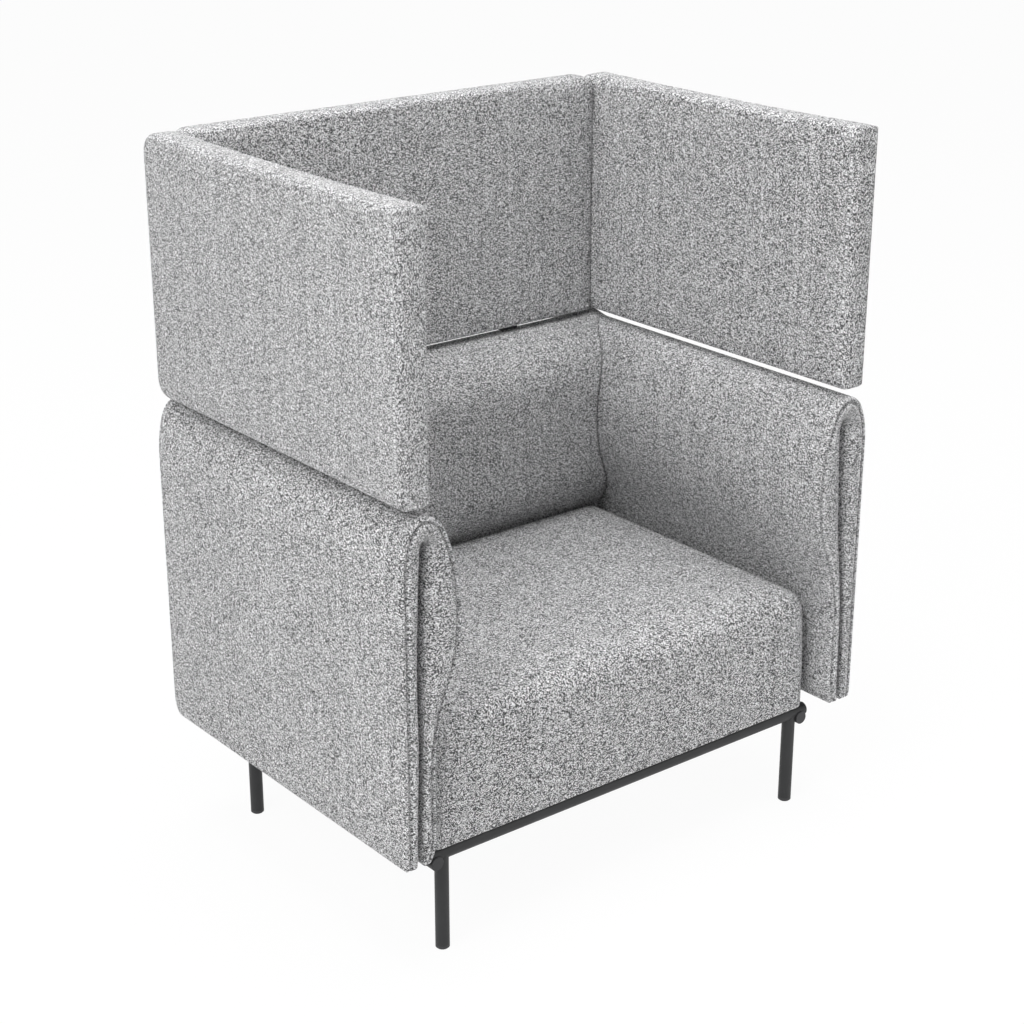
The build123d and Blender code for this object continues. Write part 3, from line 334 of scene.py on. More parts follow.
@dataclass(frozen=True)
class PowderCoat:
    """Satin charcoal powder coat with a fine orange-peel skin and a little rubbing."""

    name: str = "charcoal_powder_coat"
    slot: str = "powder_coated_steel"
    colour: Colour = (0.021, 0.0215, 0.0225)
    rubbing: float = 1.35

    def material(self) -> Material:
        """Builds the coat.

        Returns:
            The material.
        """
        graph = Graph(self.name)
        place = graph.place()
        peel = graph.noise(place, 1400.0, 2.0, 0.6)
        rubbed = graph.noise(place, 24.0, 4.0, 0.6).stretched(0.48, 0.72)
        grain = graph.noise(place, 420.0, 3.0, 0.7)
        paler = tuple(part * self.rubbing for part in self.colour)
        colour = graph.mixed(rubbed * 0.35 + grain * 0.25, self.colour, paler)
        return graph.surface(
            Base_Color=colour, Roughness=0.50 - rubbed * 0.10 + (grain - 0.5) * 0.12,
            Normal=graph.bump(peel, 0.00012, 0.6), Specular_IOR_Level=0.42,
        )


@dataclass(frozen=True)
class MouldedPlastic:
    """Matt black moulded plastic with a fine spark-eroded grain."""

    name: str = "moulded_plastic"
    slot: str = "black_plastic"
    colour: Colour = (0.030, 0.030, 0.032)
    dusty: Colour = (0.052, 0.052, 0.055)

    def material(self) -> Material:
        """Builds the plastic.

        Returns:
            The material.
        """
        graph = Graph(self.name)
        place = graph.place()
        grain = graph.noise(place, 1900.0, 2.0, 0.7)
        dust = graph.noise(place, 60.0, 3.0, 0.6)
        colour = graph.mixed(dust * 0.5, self.colour, self.dusty)
        return graph.surface(
            Base_Color=colour, Roughness=0.58 + (grain - 0.5) * 0.2,
            Normal=graph.bump(grain, 0.00008, 0.7),
        )


@dataclass(frozen=True)
class ZincPlate:
    """Zinc plating: dull bright metal with a cloudy, slightly warm passivation."""

    name: str = "zinc_plate"
    slot: str = "zinc_plated_steel"
    cool: Colour = (0.58, 0.59, 0.61)
    warm: Colour = (0.66, 0.64, 0.58)

    def material(self) -> Material:
        """Builds the plating.

        Returns:
            The material.
        """
        graph = Graph(self.name)
        place = graph.place()
        cloud = graph.noise(place, 180.0, 3.0, 0.6)
        turned = graph.noise(graph.scaled(place, (1.0, 1.0, 9.0)), 500.0, 2.0, 0.5)
        colour = graph.mixed(cloud.stretched(0.35, 0.7), self.cool, self.warm)
        return graph.surface(
            Base_Color=colour, Metallic=1.0, Roughness=0.32 + cloud * 0.16,
            Normal=graph.bump(turned, 0.00005, 0.5),
        )


@dataclass(frozen=True)
class SandedTimber:
    """Sanded beech and plywood with a straight grain along one axis."""

    name: str = "sanded_timber"
    slot: str = "timber"
    stretch: Triple = (2.0, 26.0, 26.0)

    def material(self) -> Material:
        """Builds the grain.

        Returns:
            The material.
        """
        graph = Graph(self.name)
        place = graph.scaled(graph.place(), self.stretch)
        rings = graph.noise(place, 2.4, 4.0, 0.6)
        pores = graph.noise(place, 19.0, 3.0, 0.7)
        colour = graph.ramp(
            (rings * 0.7 + pores * 0.3).stretched(0.3, 0.7),
            [(0.0, (0.34, 0.21, 0.12)), (0.5, (0.50, 0.34, 0.20)), (1.0, (0.63, 0.46, 0.29))],
        )
        return graph.surface(
            Base_Color=colour, Roughness=0.58 + pores * 0.15, Normal=graph.bump(pores, 0.0003, 0.5)
        )


@dataclass(frozen=True)
class CellFoam:
    """Cut open-cell foam, cream with a slight yellowing."""

    name: str = "cell_foam"
    slot: str = "foam"

    def material(self) -> Material:
        """Builds the foam's cells.

        Returns:
            The material.
        """
        graph = Graph(self.name)
        place = graph.place()
        cells = graph.add("ShaderNodeTexVoronoi", {}, {"Vector": place, "Scale": 900.0})
        aged = graph.noise(place, 9.0, 3.0, 0.6)
        colour = graph.ramp(
            (cells * 0.5 + aged * 0.7).clipped(),
            [(0.0, (0.50, 0.46, 0.35)), (1.0, (0.78, 0.75, 0.64))],
        )
        return graph.surface(
            Base_Color=colour, Roughness=0.93 - cells * 0.1, Normal=graph.bump(cells, 0.0006, 0.7)
        )


class Band(Enum):
    """The two cloths under the seat: name, slot, dark and light colour, and pitch of the ribs."""

    WEBBING = ("elastic_webbing", "webbing", (0.030, 0.030, 0.034), (0.085, 0.085, 0.095), 0.0022)
    LINING = ("underside_lining", "lining", (0.012, 0.012, 0.013), (0.030, 0.030, 0.032), 0.0011)


@dataclass(frozen=True)
class BandCloth:
    """A fine ribbed cloth for webbing or lining."""

    band: Band

    def material(self) -> Material:
        """Builds the ribs.

        Returns:
            The material.
        """
        name, _, dark, light, pitch = self.band.value
        graph = Graph(name)
        place = graph.place()
        x, y, _ = graph.split(place)
        turn = math.tau / pitch
        rib = (x * turn).maths("SINE") * (y * turn).maths("SINE")
        fuzz = graph.noise(place, 700.0, 2.0, 0.7)
        return graph.surface(
            Base_Color=graph.mixed((rib * 0.3 + fuzz).clipped(), dark, light),
            Roughness=0.88 - fuzz * 0.12, Normal=graph.bump(rib + fuzz, 0.0003, 0.6),
        )

    @property
    def slot(self) -> str:
        """The record's slot of this cloth."""
        return self.band.value[1]


class Finishes:
    """Every finish on the chair, each built once."""

    def __init__(self) -> None:
        """Starts with no finish built."""
        self.made: Dict[str, Material] = {}

    def get(self, finish: Any) -> Material:
        """A finish's material, built when it is first asked for.

        Args:
            finish: the finish.

        Returns:
            Its material.
        """
        key = repr(finish)
        if key not in self.made:
            self.made[key] = finish.material()
        return self.made[key]

    def dress(self, finish: Any, *nodes: str) -> None:
        """Gives a finish to nodes of the construction, which keep their shape.

        Args:
            finish: the finish.
            nodes: the nodes' names.
        """
        for name in nodes:
            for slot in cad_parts[name].material_slots:
                slot.material = self.get(finish)
            LOG.info("%s: %s", name, finish.slot)


STEEL = PowderCoat()
PLASTIC = MouldedPlastic()
ZINC = ZincPlate()
TIMBER_ACROSS = SandedTimber()
TIMBER_ALONG = SandedTimber(name="sanded_timber_along", stretch=(26.0, 2.0, 26.0))
TIMBER_UPRIGHT = SandedTimber(name="sanded_timber_upright", stretch=(26.0, 26.0, 2.0))
FOAM = CellFoam()
WEAVE = MelangeWeave()


# ---- lines, grids and cloth
@dataclass
class Patch:
    """A grid of a cover's points, their cloth coordinates and how far the filling may move them."""

    points: Array
    weave: Array
    give: Array


def arc(centre: Pair, radius: float, start: float, end: float, steps: int) -> Array:
    """Points along an arc, between two angles in degrees."""
    angles = np.radians(np.linspace(start, end, steps + 1))
    return np.stack([centre[0] + radius * np.cos(angles), centre[1] + radius * np.sin(angles)], 1)


def run_lengths(line: Array) -> Array:
    """The length along a polyline at each of its points."""
    return np.concatenate([[0.0], np.cumsum(np.linalg.norm(np.diff(line, axis=0), axis=1))])


def filled(low: Array, right: Array, high: Array, left: Array) -> Array:
    """A grid inside four edges that meet at their ends.

    Args:
        low: the edge from the first corner to the second.
        right: the edge from the second corner to the third.
        high: the edge from the fourth corner to the third.
        left: the edge from the first corner to the fourth.

    Returns:
        Points with one row for each point of left, and one column for each of low.
    """
    a = np.linspace(0.0, 1.0, len(low))[None, :, None]
    b = np.linspace(0.0, 1.0, len(left))[:, None, None]
    ruled = (1 - b) * low[None] + b * high[None] + (1 - a) * left[:, None] + a * right[:, None]
    corners = (
        (1 - a) * (1 - b) * low[0] + a * (1 - b) * low[-1]
        + (1 - a) * b * high[0] + a * b * high[-1]
    )
    return ruled - corners


def ogee(foot: Pair, bulge: Pair, steps: int) -> Array:
    """A pad's side that swings out from its foot to its bulge in two equal arcs.

    Args:
        foot: where it starts upright.
        bulge: where it is upright again, further in.
        steps: how many steps each arc takes.

    Returns:
        2 * steps + 1 points.
    """
    run, rise = foot[0] - bulge[0], bulge[1] - foot[1]
    radius = (rise * rise + run * run) / (4 * run)
    bend = math.degrees(math.atan2(rise / 2, radius - run / 2))
    lower = arc((foot[0] - radius, foot[1]), radius, 0, bend, steps)
    upper = arc((bulge[0] + radius, bulge[1]), radius, 180 + bend, 180, steps)
    return np.concatenate([lower, upper[1:]])


def between(first: Array, second: Array, share: Array) -> Array:
    """What lies a share of the way from the first to the second."""
    return first * (1 - share) + second * share


def eased(share: Any) -> Any:
    """A share from 0 to 1 that starts and ends gently."""
    return share * share * (3.0 - 2.0 * share)


def cloth(across: Any, along: Any, mark: Any) -> Array:
    """Cloth coordinates from their three parts."""
    return np.stack(np.broadcast_arrays(across, along, mark), -1)


def linked(name: str, data: Any) -> bpy.types.Object:
    """Puts a new object in the scene.

    Args:
        name: its name.
        data: what it shows, such as a mesh, a lamp or a camera.

    Returns:
        The object.
    """
    made = bpy.data.objects.new(name, data)
    bpy.context.scene.collection.objects.link(made)
    return made


# How the covers' fabric behaves while the filling presses on it.
CLOTH = {
    "quality": 5, "mass": 0.3, "tension_stiffness": 25.0, "compression_stiffness": 25.0,
    "shear_stiffness": 12.0, "bending_stiffness": 1.5, "use_pressure": True,
}


@dataclass
class Cover:
    """One upholstered piece: its patches sewn into a closed mesh, filled and finished."""

    name: str
    patches: List[Patch]
    swell: float
    pressure: float = 2.5
    fill: float = 0.9
    frames: int = 20
    pin_below: float = 0.05
    looseness: Array = field(init=False)

    def make(self, finishes: Finishes, *replaces: str) -> None:
        """Builds the piece in the weave and puts it in its nodes' place.

        Args:
            finishes: the chair's finishes.
            replaces: the construction nodes that it stands for.
        """
        finish, slot = finishes.get(WEAVE), WEAVE.slot
        cover = self._sewn()
        self._fill(cover)
        cover.data.materials.append(finish)
        cover.data.shade_smooth()
        smoother = cover.modifiers.new("smooth", "SUBSURF")
        smoother.levels = smoother.render_levels = 1
        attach(cover, BODY)
        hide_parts(*replaces)
        LOG.info("%s: %d points", cover.name, len(cover.data.vertices))

    def _sewn(self) -> bpy.types.Object:
        """Joins the patches along their shared edges into one mesh with cloth coordinates.

        Returns:
            The mesh's object.
        """
        points = np.concatenate([patch.points.reshape(-1, 3) for patch in self.patches])
        weave = np.concatenate([patch.weave.reshape(-1, 3) for patch in self.patches])
        give = np.concatenate([patch.give.reshape(-1) for patch in self.patches])
        rounded = np.round(points + JOIN_OFFSET, JOIN_DECIMALS)
        _, first, joined = np.unique(rounded, axis=0, return_index=True, return_inverse=True)
        joined = joined.reshape(-1)
        faces, corners, start = [], [], 0
        for patch in self.patches:
            rows, columns = patch.points.shape[:2]
            grid = start + np.arange(rows * columns).reshape(rows, columns)
            start += rows * columns
            quads = np.stack(
                [grid[:-1, :-1], grid[:-1, 1:], grid[1:, 1:], grid[1:, :-1]], -1
            ).reshape(-1, 4)
            for quad in quads:
                kept = [q for k, q in enumerate(quad) if joined[q] != joined[quad[k - 1]]]
                if len({joined[q] for q in kept}) == len(kept) >= 3:
                    faces.append([int(joined[q]) for q in kept])
                    corners.extend(kept)
        mesh = bpy.data.meshes.new(self.name)
        mesh.from_pydata(points[first].tolist(), [], faces)
        layer = mesh.attributes.new("weave", "FLOAT_VECTOR", "CORNER")
        layer.data.foreach_set("vector", weave[corners].astype(np.float32).ravel())
        self._turn_outward(mesh)
        cover = linked(self.name, mesh)
        self.looseness = np.full(len(first), 1.0)
        np.minimum.at(self.looseness, joined, give)
        return cover

    @staticmethod
    def _turn_outward(mesh: bpy.types.Mesh) -> None:
        """Turns every face of a closed mesh to the outside.

        Args:
            mesh: the mesh.
        """
        work = bmesh.new()
        work.from_mesh(mesh)
        bmesh.ops.recalc_face_normals(work, faces=work.faces)
        open_edges = sum(1 for edge in work.edges if len(edge.link_faces) != 2)
        if open_edges:
            LOG.warning("%s has %d open edges", mesh.name, open_edges)
        work.to_mesh(mesh)
        work.free()

    def _fill(self, cover: bpy.types.Object) -> None:
        """Presses the filling out against the cover by cloth simulation.

        The stiff core under the cover keeps it from sinking, so only what moves outward is kept.

        Args:
            cover: the sewn cover.
        """
        mesh = cover.data
        rest = np.array([v.co for v in mesh.vertices], float)
        held = cover.vertex_groups.new(name="seams")
        pinned = np.flatnonzero(self.looseness < self.pin_below)
        held.add([int(k) for k in pinned], 1.0, "REPLACE")
        filling = cover.modifiers.new("filling", "CLOTH")
        settings = filling.settings
        for key, value in CLOTH.items():
            setattr(settings, key, value)
        settings.uniform_pressure_force = self.pressure
        settings.effector_weights.gravity = 0.0
        settings.vertex_group_mass = held.name
        filling.collision_settings.use_collision = False
        scene = bpy.context.scene
        for step in range(self.frames):
            scene.frame_set(step + 1)
        filled_mesh = cover.evaluated_get(bpy.context.evaluated_depsgraph_get()).data
        moved = np.array([v.co for v in filled_mesh.vertices], float) - rest
        normals = np.array([v.normal for v in mesh.vertices], float)
        outward = np.maximum((moved * normals).sum(1), 0.0)
        limit = self.swell * np.clip(self.looseness, 0.0, 1.0)
        outward = limit * np.tanh(outward / np.maximum(limit, 1e-6))
        LOG.info("%s: filling pressed out %.1f mm at most", cover.name, 1000 * outward.max())
        cover.modifiers.remove(filling)
        cover.vertex_groups.clear()
        scene.frame_set(1)
        mesh.vertices.foreach_set("co", (rest + normals * outward[:, None]).ravel())
        mesh.update()


# ---- block pads: seat and screens
class Lying(Enum):
    """How a block pad's length, width and thickness lie in the chair."""

    FLAT = ((1, 0, 0), (0, 1, 0), (0, 0, 1))
    FACING_SIDE = ((0, 1, 0), (0, 0, 1), (1, 0, 0))
    FACING_FRONT = ((-1, 0, 0), (0, 0, 1), (0, 1, 0))


@dataclass
class BlockPad:
    """A pad with two broad faces, rounded corners and rounded, seamed edges."""

    low: Pair
    high: Pair
    corners: Tuple[float, float, float, float]
    thickness: Pair
    top_round: float
    bottom_round: float
    lying: Lying
    cells: Tuple[int, int]
    wall_rows: int
    mirror: bool = False
    patch: float = 0.0
    seams: Tuple[float, ...] = ()
    wall_give: float = 0.4
    held_edge: bool = False
    sag: float = 0.0
    belly: float = 0.0
    face_give: Pair = (1.0, 1.0)
    corner_cells: int = 6
    seam_depth: float = 0.0012
    least_radius: float = 0.0004
    edge_step: float = 0.006
    lower_mark: float = 3.0

    def outline(self, inset: float, slimmer: float = 0.0) -> Array:
        """The pad's outline, from the middle of its first corner, once round.

        Args:
            inset: how far it is drawn in.
            slimmer: how much smaller the corners' radii are at this height.

        Returns:
            Its points.
        """
        (u0, v0), (u1, v1) = self.low, self.high
        places = [(u0, v0, 180), (u1, v0, 270), (u1, v1, 0), (u0, v1, 90)]
        rounds = []
        for (u, v, start), radius in zip(places, self.corners):
            left = max(radius - slimmer - inset, self.least_radius)
            centre = (
                u + (1 if u == u0 else -1) * (inset + left),
                v + (1 if v == v0 else -1) * (inset + left),
            )
            rounds.append(arc(centre, left, start, start + 90, self.corner_cells))
        half = self.corner_cells // 2
        sides = []
        for index in range(4):
            here, after = rounds[index], rounds[(index + 1) % 4]
            cells = self.cells[index % 2]
            share = (np.arange(1, cells) / cells)[:, None]
            straight = between(here[-1], after[0], share)
            if index == 2:
                straight = straight - self.sag * 4.0 * share * (1.0 - share) * (0.0, 1.0)
            sides.append(np.concatenate([here[half:], straight, after[:half]]))
        return np.concatenate(sides)

    def profile(self) -> Array:
        """The edge's profile from the bottom face to the top face.

        Returns:
            Inset and height, a row for each point.
        """
        low, high = self.thickness
        bottom, top = self.bottom_round, self.top_round
        under = arc((bottom, low + bottom), bottom, 270, 180, 3)
        over = arc((top, high - top), top, 180, 90, max(4, int(top / self.edge_step)))
        heights = np.linspace(low + bottom, high - top, self.wall_rows + 1)[1:-1]
        wall = np.stack([np.zeros_like(heights), heights], 1)
        line = np.concatenate([under, wall, over])
        for seam in self.seams:
            line[self._row_at(line, seam), 0] += self.seam_depth
        return line

    @staticmethod
    def _row_at(line: Array, height: float) -> int:
        """The profile's row nearest to a height."""
        return int(np.argmin(np.abs(line[:, 1] - height)))

    def placed(self, u: Array, v: Array, w: Array) -> Array:
        """Sets pad coordinates in the chair.

        Args:
            u: places along the pad.
            v: places up the pad.
            w: places through its thickness.

        Returns:
            Points of the chair.
        """
        along, up, out = (np.array(axis, float) for axis in self.lying.value)
        points = u[..., None] * along + v[..., None] * up + w[..., None] * out
        if self.mirror:
            points = points * np.array([-1.0, 1.0, 1.0])
        return points

    def patches(self) -> List[Patch]:
        """Builds the wall round the pad and its two faces.

        Returns:
            The pad's patches.
        """
        line = self.profile()
        rise = (line[:, 1] - self.thickness[0]) / (self.thickness[1] - self.thickness[0])
        slimmer = self.belly * (1.0 - rise ** 3)
        loops = np.stack([self.outline(inset, slim) for (inset, _), slim in zip(line, slimmer)])
        loops = np.concatenate([loops, loops[:, :1]], 1)
        heights = np.repeat(line[:, 1:], loops.shape[1], 1)
        edge = self.outline(0.0)
        around = run_lengths(np.concatenate([edge, edge[:1]]))
        first_side = self.cells[0] + self.corner_cells
        around = around - around[first_side // 2] + (self.low[0] + self.high[0]) / 2
        profile_run = run_lengths(line)
        weave = cloth(around, profile_run[:, None], self.patch)
        give = np.full(heights.shape, self.wall_give)
        for seam in self.seams:
            give[self._row_at(line, seam)] = 0.0
        if self.held_edge:
            turned = 1.0 - math.sin(math.radians(45.0))
            give[self._row_at(line, self.thickness[1] - self.top_round * turned)] = 0.0
        wall = Patch(self.placed(loops[..., 0], loops[..., 1], heights), weave, give)
        top = self._face(line[-1], slimmer[-1], profile_run[-1], True)
        bottom = self._face(line[0], slimmer[0], 0.0, False)
        return [wall, top, bottom]

    def _face(self, end: Array, slimmer: float, run: float, upper: bool) -> Patch:
        """One broad face, which the wall's last loop bounds.

        Args:
            end: the profile's last inset and height.
            slimmer: how much smaller the corners' radii are there, as in the wall's last loop.
            run: the profile's length up to there.
            upper: whether it is the upper face.

        Returns:
            The face.
        """
        loop = self.outline(end[0], slimmer)
        along, up = self.cells[0] + self.corner_cells, self.cells[1] + self.corner_cells
        low = loop[: along + 1]
        right = loop[along : along + up + 1]
        high = loop[along + up : 2 * along + up + 1][::-1]
        left = np.concatenate([loop[2 * along + up :], loop[:1]])[::-1]
        grid = filled(low, right, high, left)
        u, v = grid[..., 0], grid[..., 1]
        height = np.full(u.shape, end[1])
        shift = run - (self.low[1] + end[0])
        weave = cloth(u, v + shift, self.patch + (0.0 if upper else self.lower_mark))
        points = self.placed(u, v, height)
        gives = np.full(u.shape, self.face_give[int(upper)])
        if not upper:
            points, weave = points[::-1], weave[::-1]
        return Patch(points, weave, gives)


# ---- folded pads: arms and back
@dataclass
class FoldedPad:
    """A thick pad folded over into two leaves with a slot between them."""

    skin: Array
    middle: Callable[[Array], Array]
    slot_half: float
    slot_top: float
    ends: Callable[[Array], Tuple[Array, Array]]
    placed: Callable[[Array, Array, Array], Array]
    levels: int = 40
    fan: int = 24
    cells: int = 54
    end_round: float = 0.005
    end_crown: float = 0.002
    seam_inset: float = 0.0036
    seam_half: float = 0.0033
    seam_depth: float = 0.0078
    foot_round: float = 0.0115
    foot_angles: Tuple[float, ...] = (30.0, 55.0, 75.0, 90.0)
    fold_low: Pair = (0.009, 0.008)
    fold_high: Pair = (0.030, 0.026)
    fold_heights: Pair = (0.40, 0.60)
    least_face: float = 0.003
    most_shrink: float = 0.48
    wall_mark: float = 2.0
    rim_steps: int = 4
    face_steps: int = 5
    fold_steps: int = 7
    patch: float = 0.0
    skin_give: float = 1.0
    edge_give: float = 0.4
    end_give: float = 0.5
    fold_give: float = 0.2

    def rim(self, depth: float, height: float, shrink: float) -> Array:
        """The end of the pad at one station, from the skin to the slot's wall.

        Args:
            depth: the leaf's thickness there.
            height: the station's height, as the cloth turns softer into the slot higher up.
            shrink: how far the end is drawn in on every side, at a leaf's foot.

        Returns:
            Depth from the skin and distance in from the end, a row for each point.
        """
        edge, crown = self.end_round, self.end_crown
        outer = arc((edge, edge), edge, 180, 270, self.rim_steps) + (0.0, crown)
        seam = edge + self.seam_inset
        half = self.seam_half
        groove = np.array(
            [[seam - half, crown], [seam, crown + self.seam_depth], [seam + half, crown]]
        )
        low, high = self.fold_heights
        share = eased(float(np.clip((height - low) / (high - low), 0.0, 1.0)))
        wide, deep = (a + (b - a) * share for a, b in zip(self.fold_low, self.fold_high))
        start = seam + half
        wide = min(wide, depth - start - self.least_face)
        turn = np.radians(np.linspace(0.0, 90.0, self.fold_steps + 1))
        fold = np.stack([depth - wide + wide * np.sin(turn), deep * (1.0 - np.cos(turn))], 1)
        along = np.linspace(0.0, 1.0, self.face_steps + 1)[1:-1]
        face = np.stack([start + (depth - wide - start) * along, crown * (1.0 - along) ** 2], 1)
        line = np.concatenate([outer, groove, face, fold])
        narrowed = min(shrink, self.most_shrink * depth)
        line[:, 0] = np.clip(line[:, 0], narrowed, depth - narrowed)
        line[:, 1] = np.maximum(line[:, 1], shrink)
        return line

    def patches(self) -> List[Patch]:
        """Builds the skin, the slot's walls, both ends and the leaves' feet.

        Returns:
            The pad's patches.
        """
        skins, inners, shrinks = self._stations()
        depths = np.linalg.norm(inners - skins, axis=1)
        rims = np.stack([self.rim(*station) for station in zip(depths, inners[:, 1], shrinks)])
        share = (rims[..., 0] / depths[:, None])[..., None]
        around = between(skins[:, None], inners[:, None], share)
        low, high = self.ends(around[..., 1])
        low, high = low + rims[..., 1], high - rims[..., 1]
        run = run_lengths(skins)[:, None]
        steps = np.linalg.norm(np.diff(rims, axis=1), axis=2)
        inward = np.concatenate([np.zeros((len(skins), 1)), np.cumsum(steps, 1)], 1)
        give = np.zeros(low.shape)
        groove_end = self.rim_steps + 4
        give[:, : self.rim_steps + 1] = self.edge_give
        give[:, groove_end : -self.fold_steps] = self.end_give
        give[:, -self.fold_steps : -1] = self.fold_give
        near, far = (self.placed(around[..., 0], around[..., 1], end) for end in (low, high))
        skin = self._sheet(around[:, 0], low[:, 0], high[:, 0], run)
        skin.give[:] = self.skin_give
        wall = self._sheet(around[:, -1], low[:, -1], high[:, -1], run)
        wall.weave[..., 2] += self.wall_mark
        return [
            Patch(near, cloth(low[:, :1] - inward, run, self.patch), give),
            Patch(far, cloth(high[:, :1] + inward, run, self.patch), give),
            skin,
            wall,
            self._foot(near[0], far[0]),
            self._foot(near[-1], far[-1]),
        ]

    def _sheet(self, base: Array, low: Array, high: Array, run: Array) -> Patch:
        """The cloth between the two ends, along one line of the section.

        Args:
            base: the line's points in the end view.
            low: where the cloth starts at each of them.
            high: where it ends.
            run: the length along the skin, as a column.

        Returns:
            The cloth, held in place.
        """
        share = np.linspace(0.0, 1.0, self.cells + 1)[None]
        along = between(low[:, None], high[:, None], share)
        line = np.repeat(base[:, None], self.cells + 1, 1)
        points = self.placed(line[..., 0], line[..., 1], along)
        return Patch(points, cloth(along, run, self.patch), np.zeros(along.shape))

    def _foot(self, near: Array, far: Array) -> Patch:
        """The closed foot of a leaf.

        Args:
            near: the last points of the end in front.
            far: the last points of the other end.

        Returns:
            The foot, held in place.
        """
        share = np.linspace(0.0, 1.0, self.cells + 1)[:, None, None]
        points = between(near[None], far[None], share)
        weave = cloth(points[..., 1], points[..., 0], self.patch)
        return Patch(points, weave, np.zeros(points.shape[:2]))

    def _stations(self) -> Tuple[Array, Array, Array]:
        """Pairs of points on the skin and the slot's wall, with the leaves' rounded feet.

        Returns:
            The skin's points, the wall's points and the shrinkage, from foot to foot.
        """
        angles = np.radians(self.foot_angles)
        drops = np.stack([np.zeros(len(angles)), -self.foot_round * np.sin(angles)], 1)
        shrinks = self.foot_round * (1 - np.cos(angles))
        skin, slot = self._paired()
        skins, inners = (
            np.concatenate([line[0] + drops[::-1], line, line[-1] + drops]) for line in (skin, slot)
        )
        return skins, inners, np.concatenate([shrinks[::-1], np.zeros(len(skin)), shrinks])

    def _paired(self) -> Tuple[Array, Array]:
        """Pairs the skin with the slot, by height beside the slot and by turn over its top.

        Returns:
            The skin's points and the slot's points, from the first leaf's foot to the second's.
        """
        skin, half, top = self.skin, self.slot_half, self.slot_top
        crest = int(np.argmax(skin[:, 1]))
        up, down = skin[: crest + 1], skin[crest:][::-1]
        heights = np.linspace(skin[0, 1], top, self.levels + 1)
        first, second = (
            np.stack([np.interp(heights, leaf[:, 1], leaf[:, 0]), heights], 1)
            for leaf in (up, down)
        )
        second, falling = second[::-1], down[::-1]
        inside = np.concatenate(
            [first[-1:], up[up[:, 1] > top], falling[falling[:, 1] > top], second[:1]]
        )
        along = run_lengths(inside)
        places = np.linspace(0.0, along[-1], self.fan + 1)[1:-1]
        over = np.stack([np.interp(places, along, inside[:, axis]) for axis in (0, 1)], 1)
        middle = self.middle(heights)
        wall_up = np.stack([middle - half, heights], 1)
        wall_down = np.stack([middle + half, heights], 1)[::-1]
        turn = arc((float(middle[-1]), top), half, 180, 0, self.fan)[1:-1]
        return np.concatenate([first, over, second]), np.concatenate([wall_up, turn, wall_down])


# ---- sub-assemblies
class Side(Enum):
    """The chair's two sides, as seen from the front."""

    LEFT = -1.0
    RIGHT = 1.0

    @property
    def word(self) -> str:
        """The side's name, as the node names end."""
        return self.name.lower()


def both(*stems: str) -> List[str]:
    """The names of the left and the right piece of each pair."""
    return [f"{stem}_{side.word}" for stem in stems for side in Side]


@dataclass
class TubeBase:
    """The welded tube base with its plugs, glides, tabs and screws."""

    finishes: Finishes

    def build(self) -> None:
        """Dresses the base, whose shapes are the construction's own."""
        self.finishes.dress(STEEL, *both("side_tube", "leg_front", "leg_rear"))
        self.finishes.dress(STEEL, "front_cross_tube", "rear_cross_tube", "seat_mounting_tabs")
        self.finishes.dress(PLASTIC, "tube_end_plugs", "leg_glides")
        self.finishes.dress(ZINC, "seat_tab_screws")


@dataclass
class Seat:
    """The seat: a crowned cushion over a timber frame, webbing and foam."""

    finishes: Finishes
    corner: float = 0.042
    belly: float = 0.022
    top_edge: float = 0.038
    bottom_edge: float = 0.005
    swell: float = 0.0055

    def build(self) -> None:
        """Makes the cushion and dresses what carries it."""
        low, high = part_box("seat_cover")
        pad = BlockPad(
            low=(low.x, low.y), high=(high.x, high.y), corners=(self.corner,) * 4,
            thickness=(low.z, high.z), top_round=self.top_edge, bottom_round=self.bottom_edge,
            lying=Lying.FLAT, cells=(58, 38), wall_rows=16, wall_give=0.8,
            face_give=(0.0, 1.0), held_edge=True, belly=self.belly,
        )
        cushion = Cover("seat_cushion", pad.patches(), swell=self.swell, pressure=3.0, fill=0.8)
        cushion.make(self.finishes, "seat_cover")
        timber = (f"seat_{piece}" for piece in ("front_rail", "rear_rail", "corner_blocks"))
        self.finishes.dress(TIMBER_ACROSS, *timber)
        self.finishes.dress(TIMBER_ALONG, *both("seat_side_rail"))
        webbing = BandCloth(Band.WEBBING)
        self.finishes.dress(webbing, "seat_webbing_lengthwise", "seat_webbing_crosswise")
        self.finishes.dress(BandCloth(Band.LINING), "seat_underside_lining")
        self.finishes.dress(FOAM, "seat_foam")


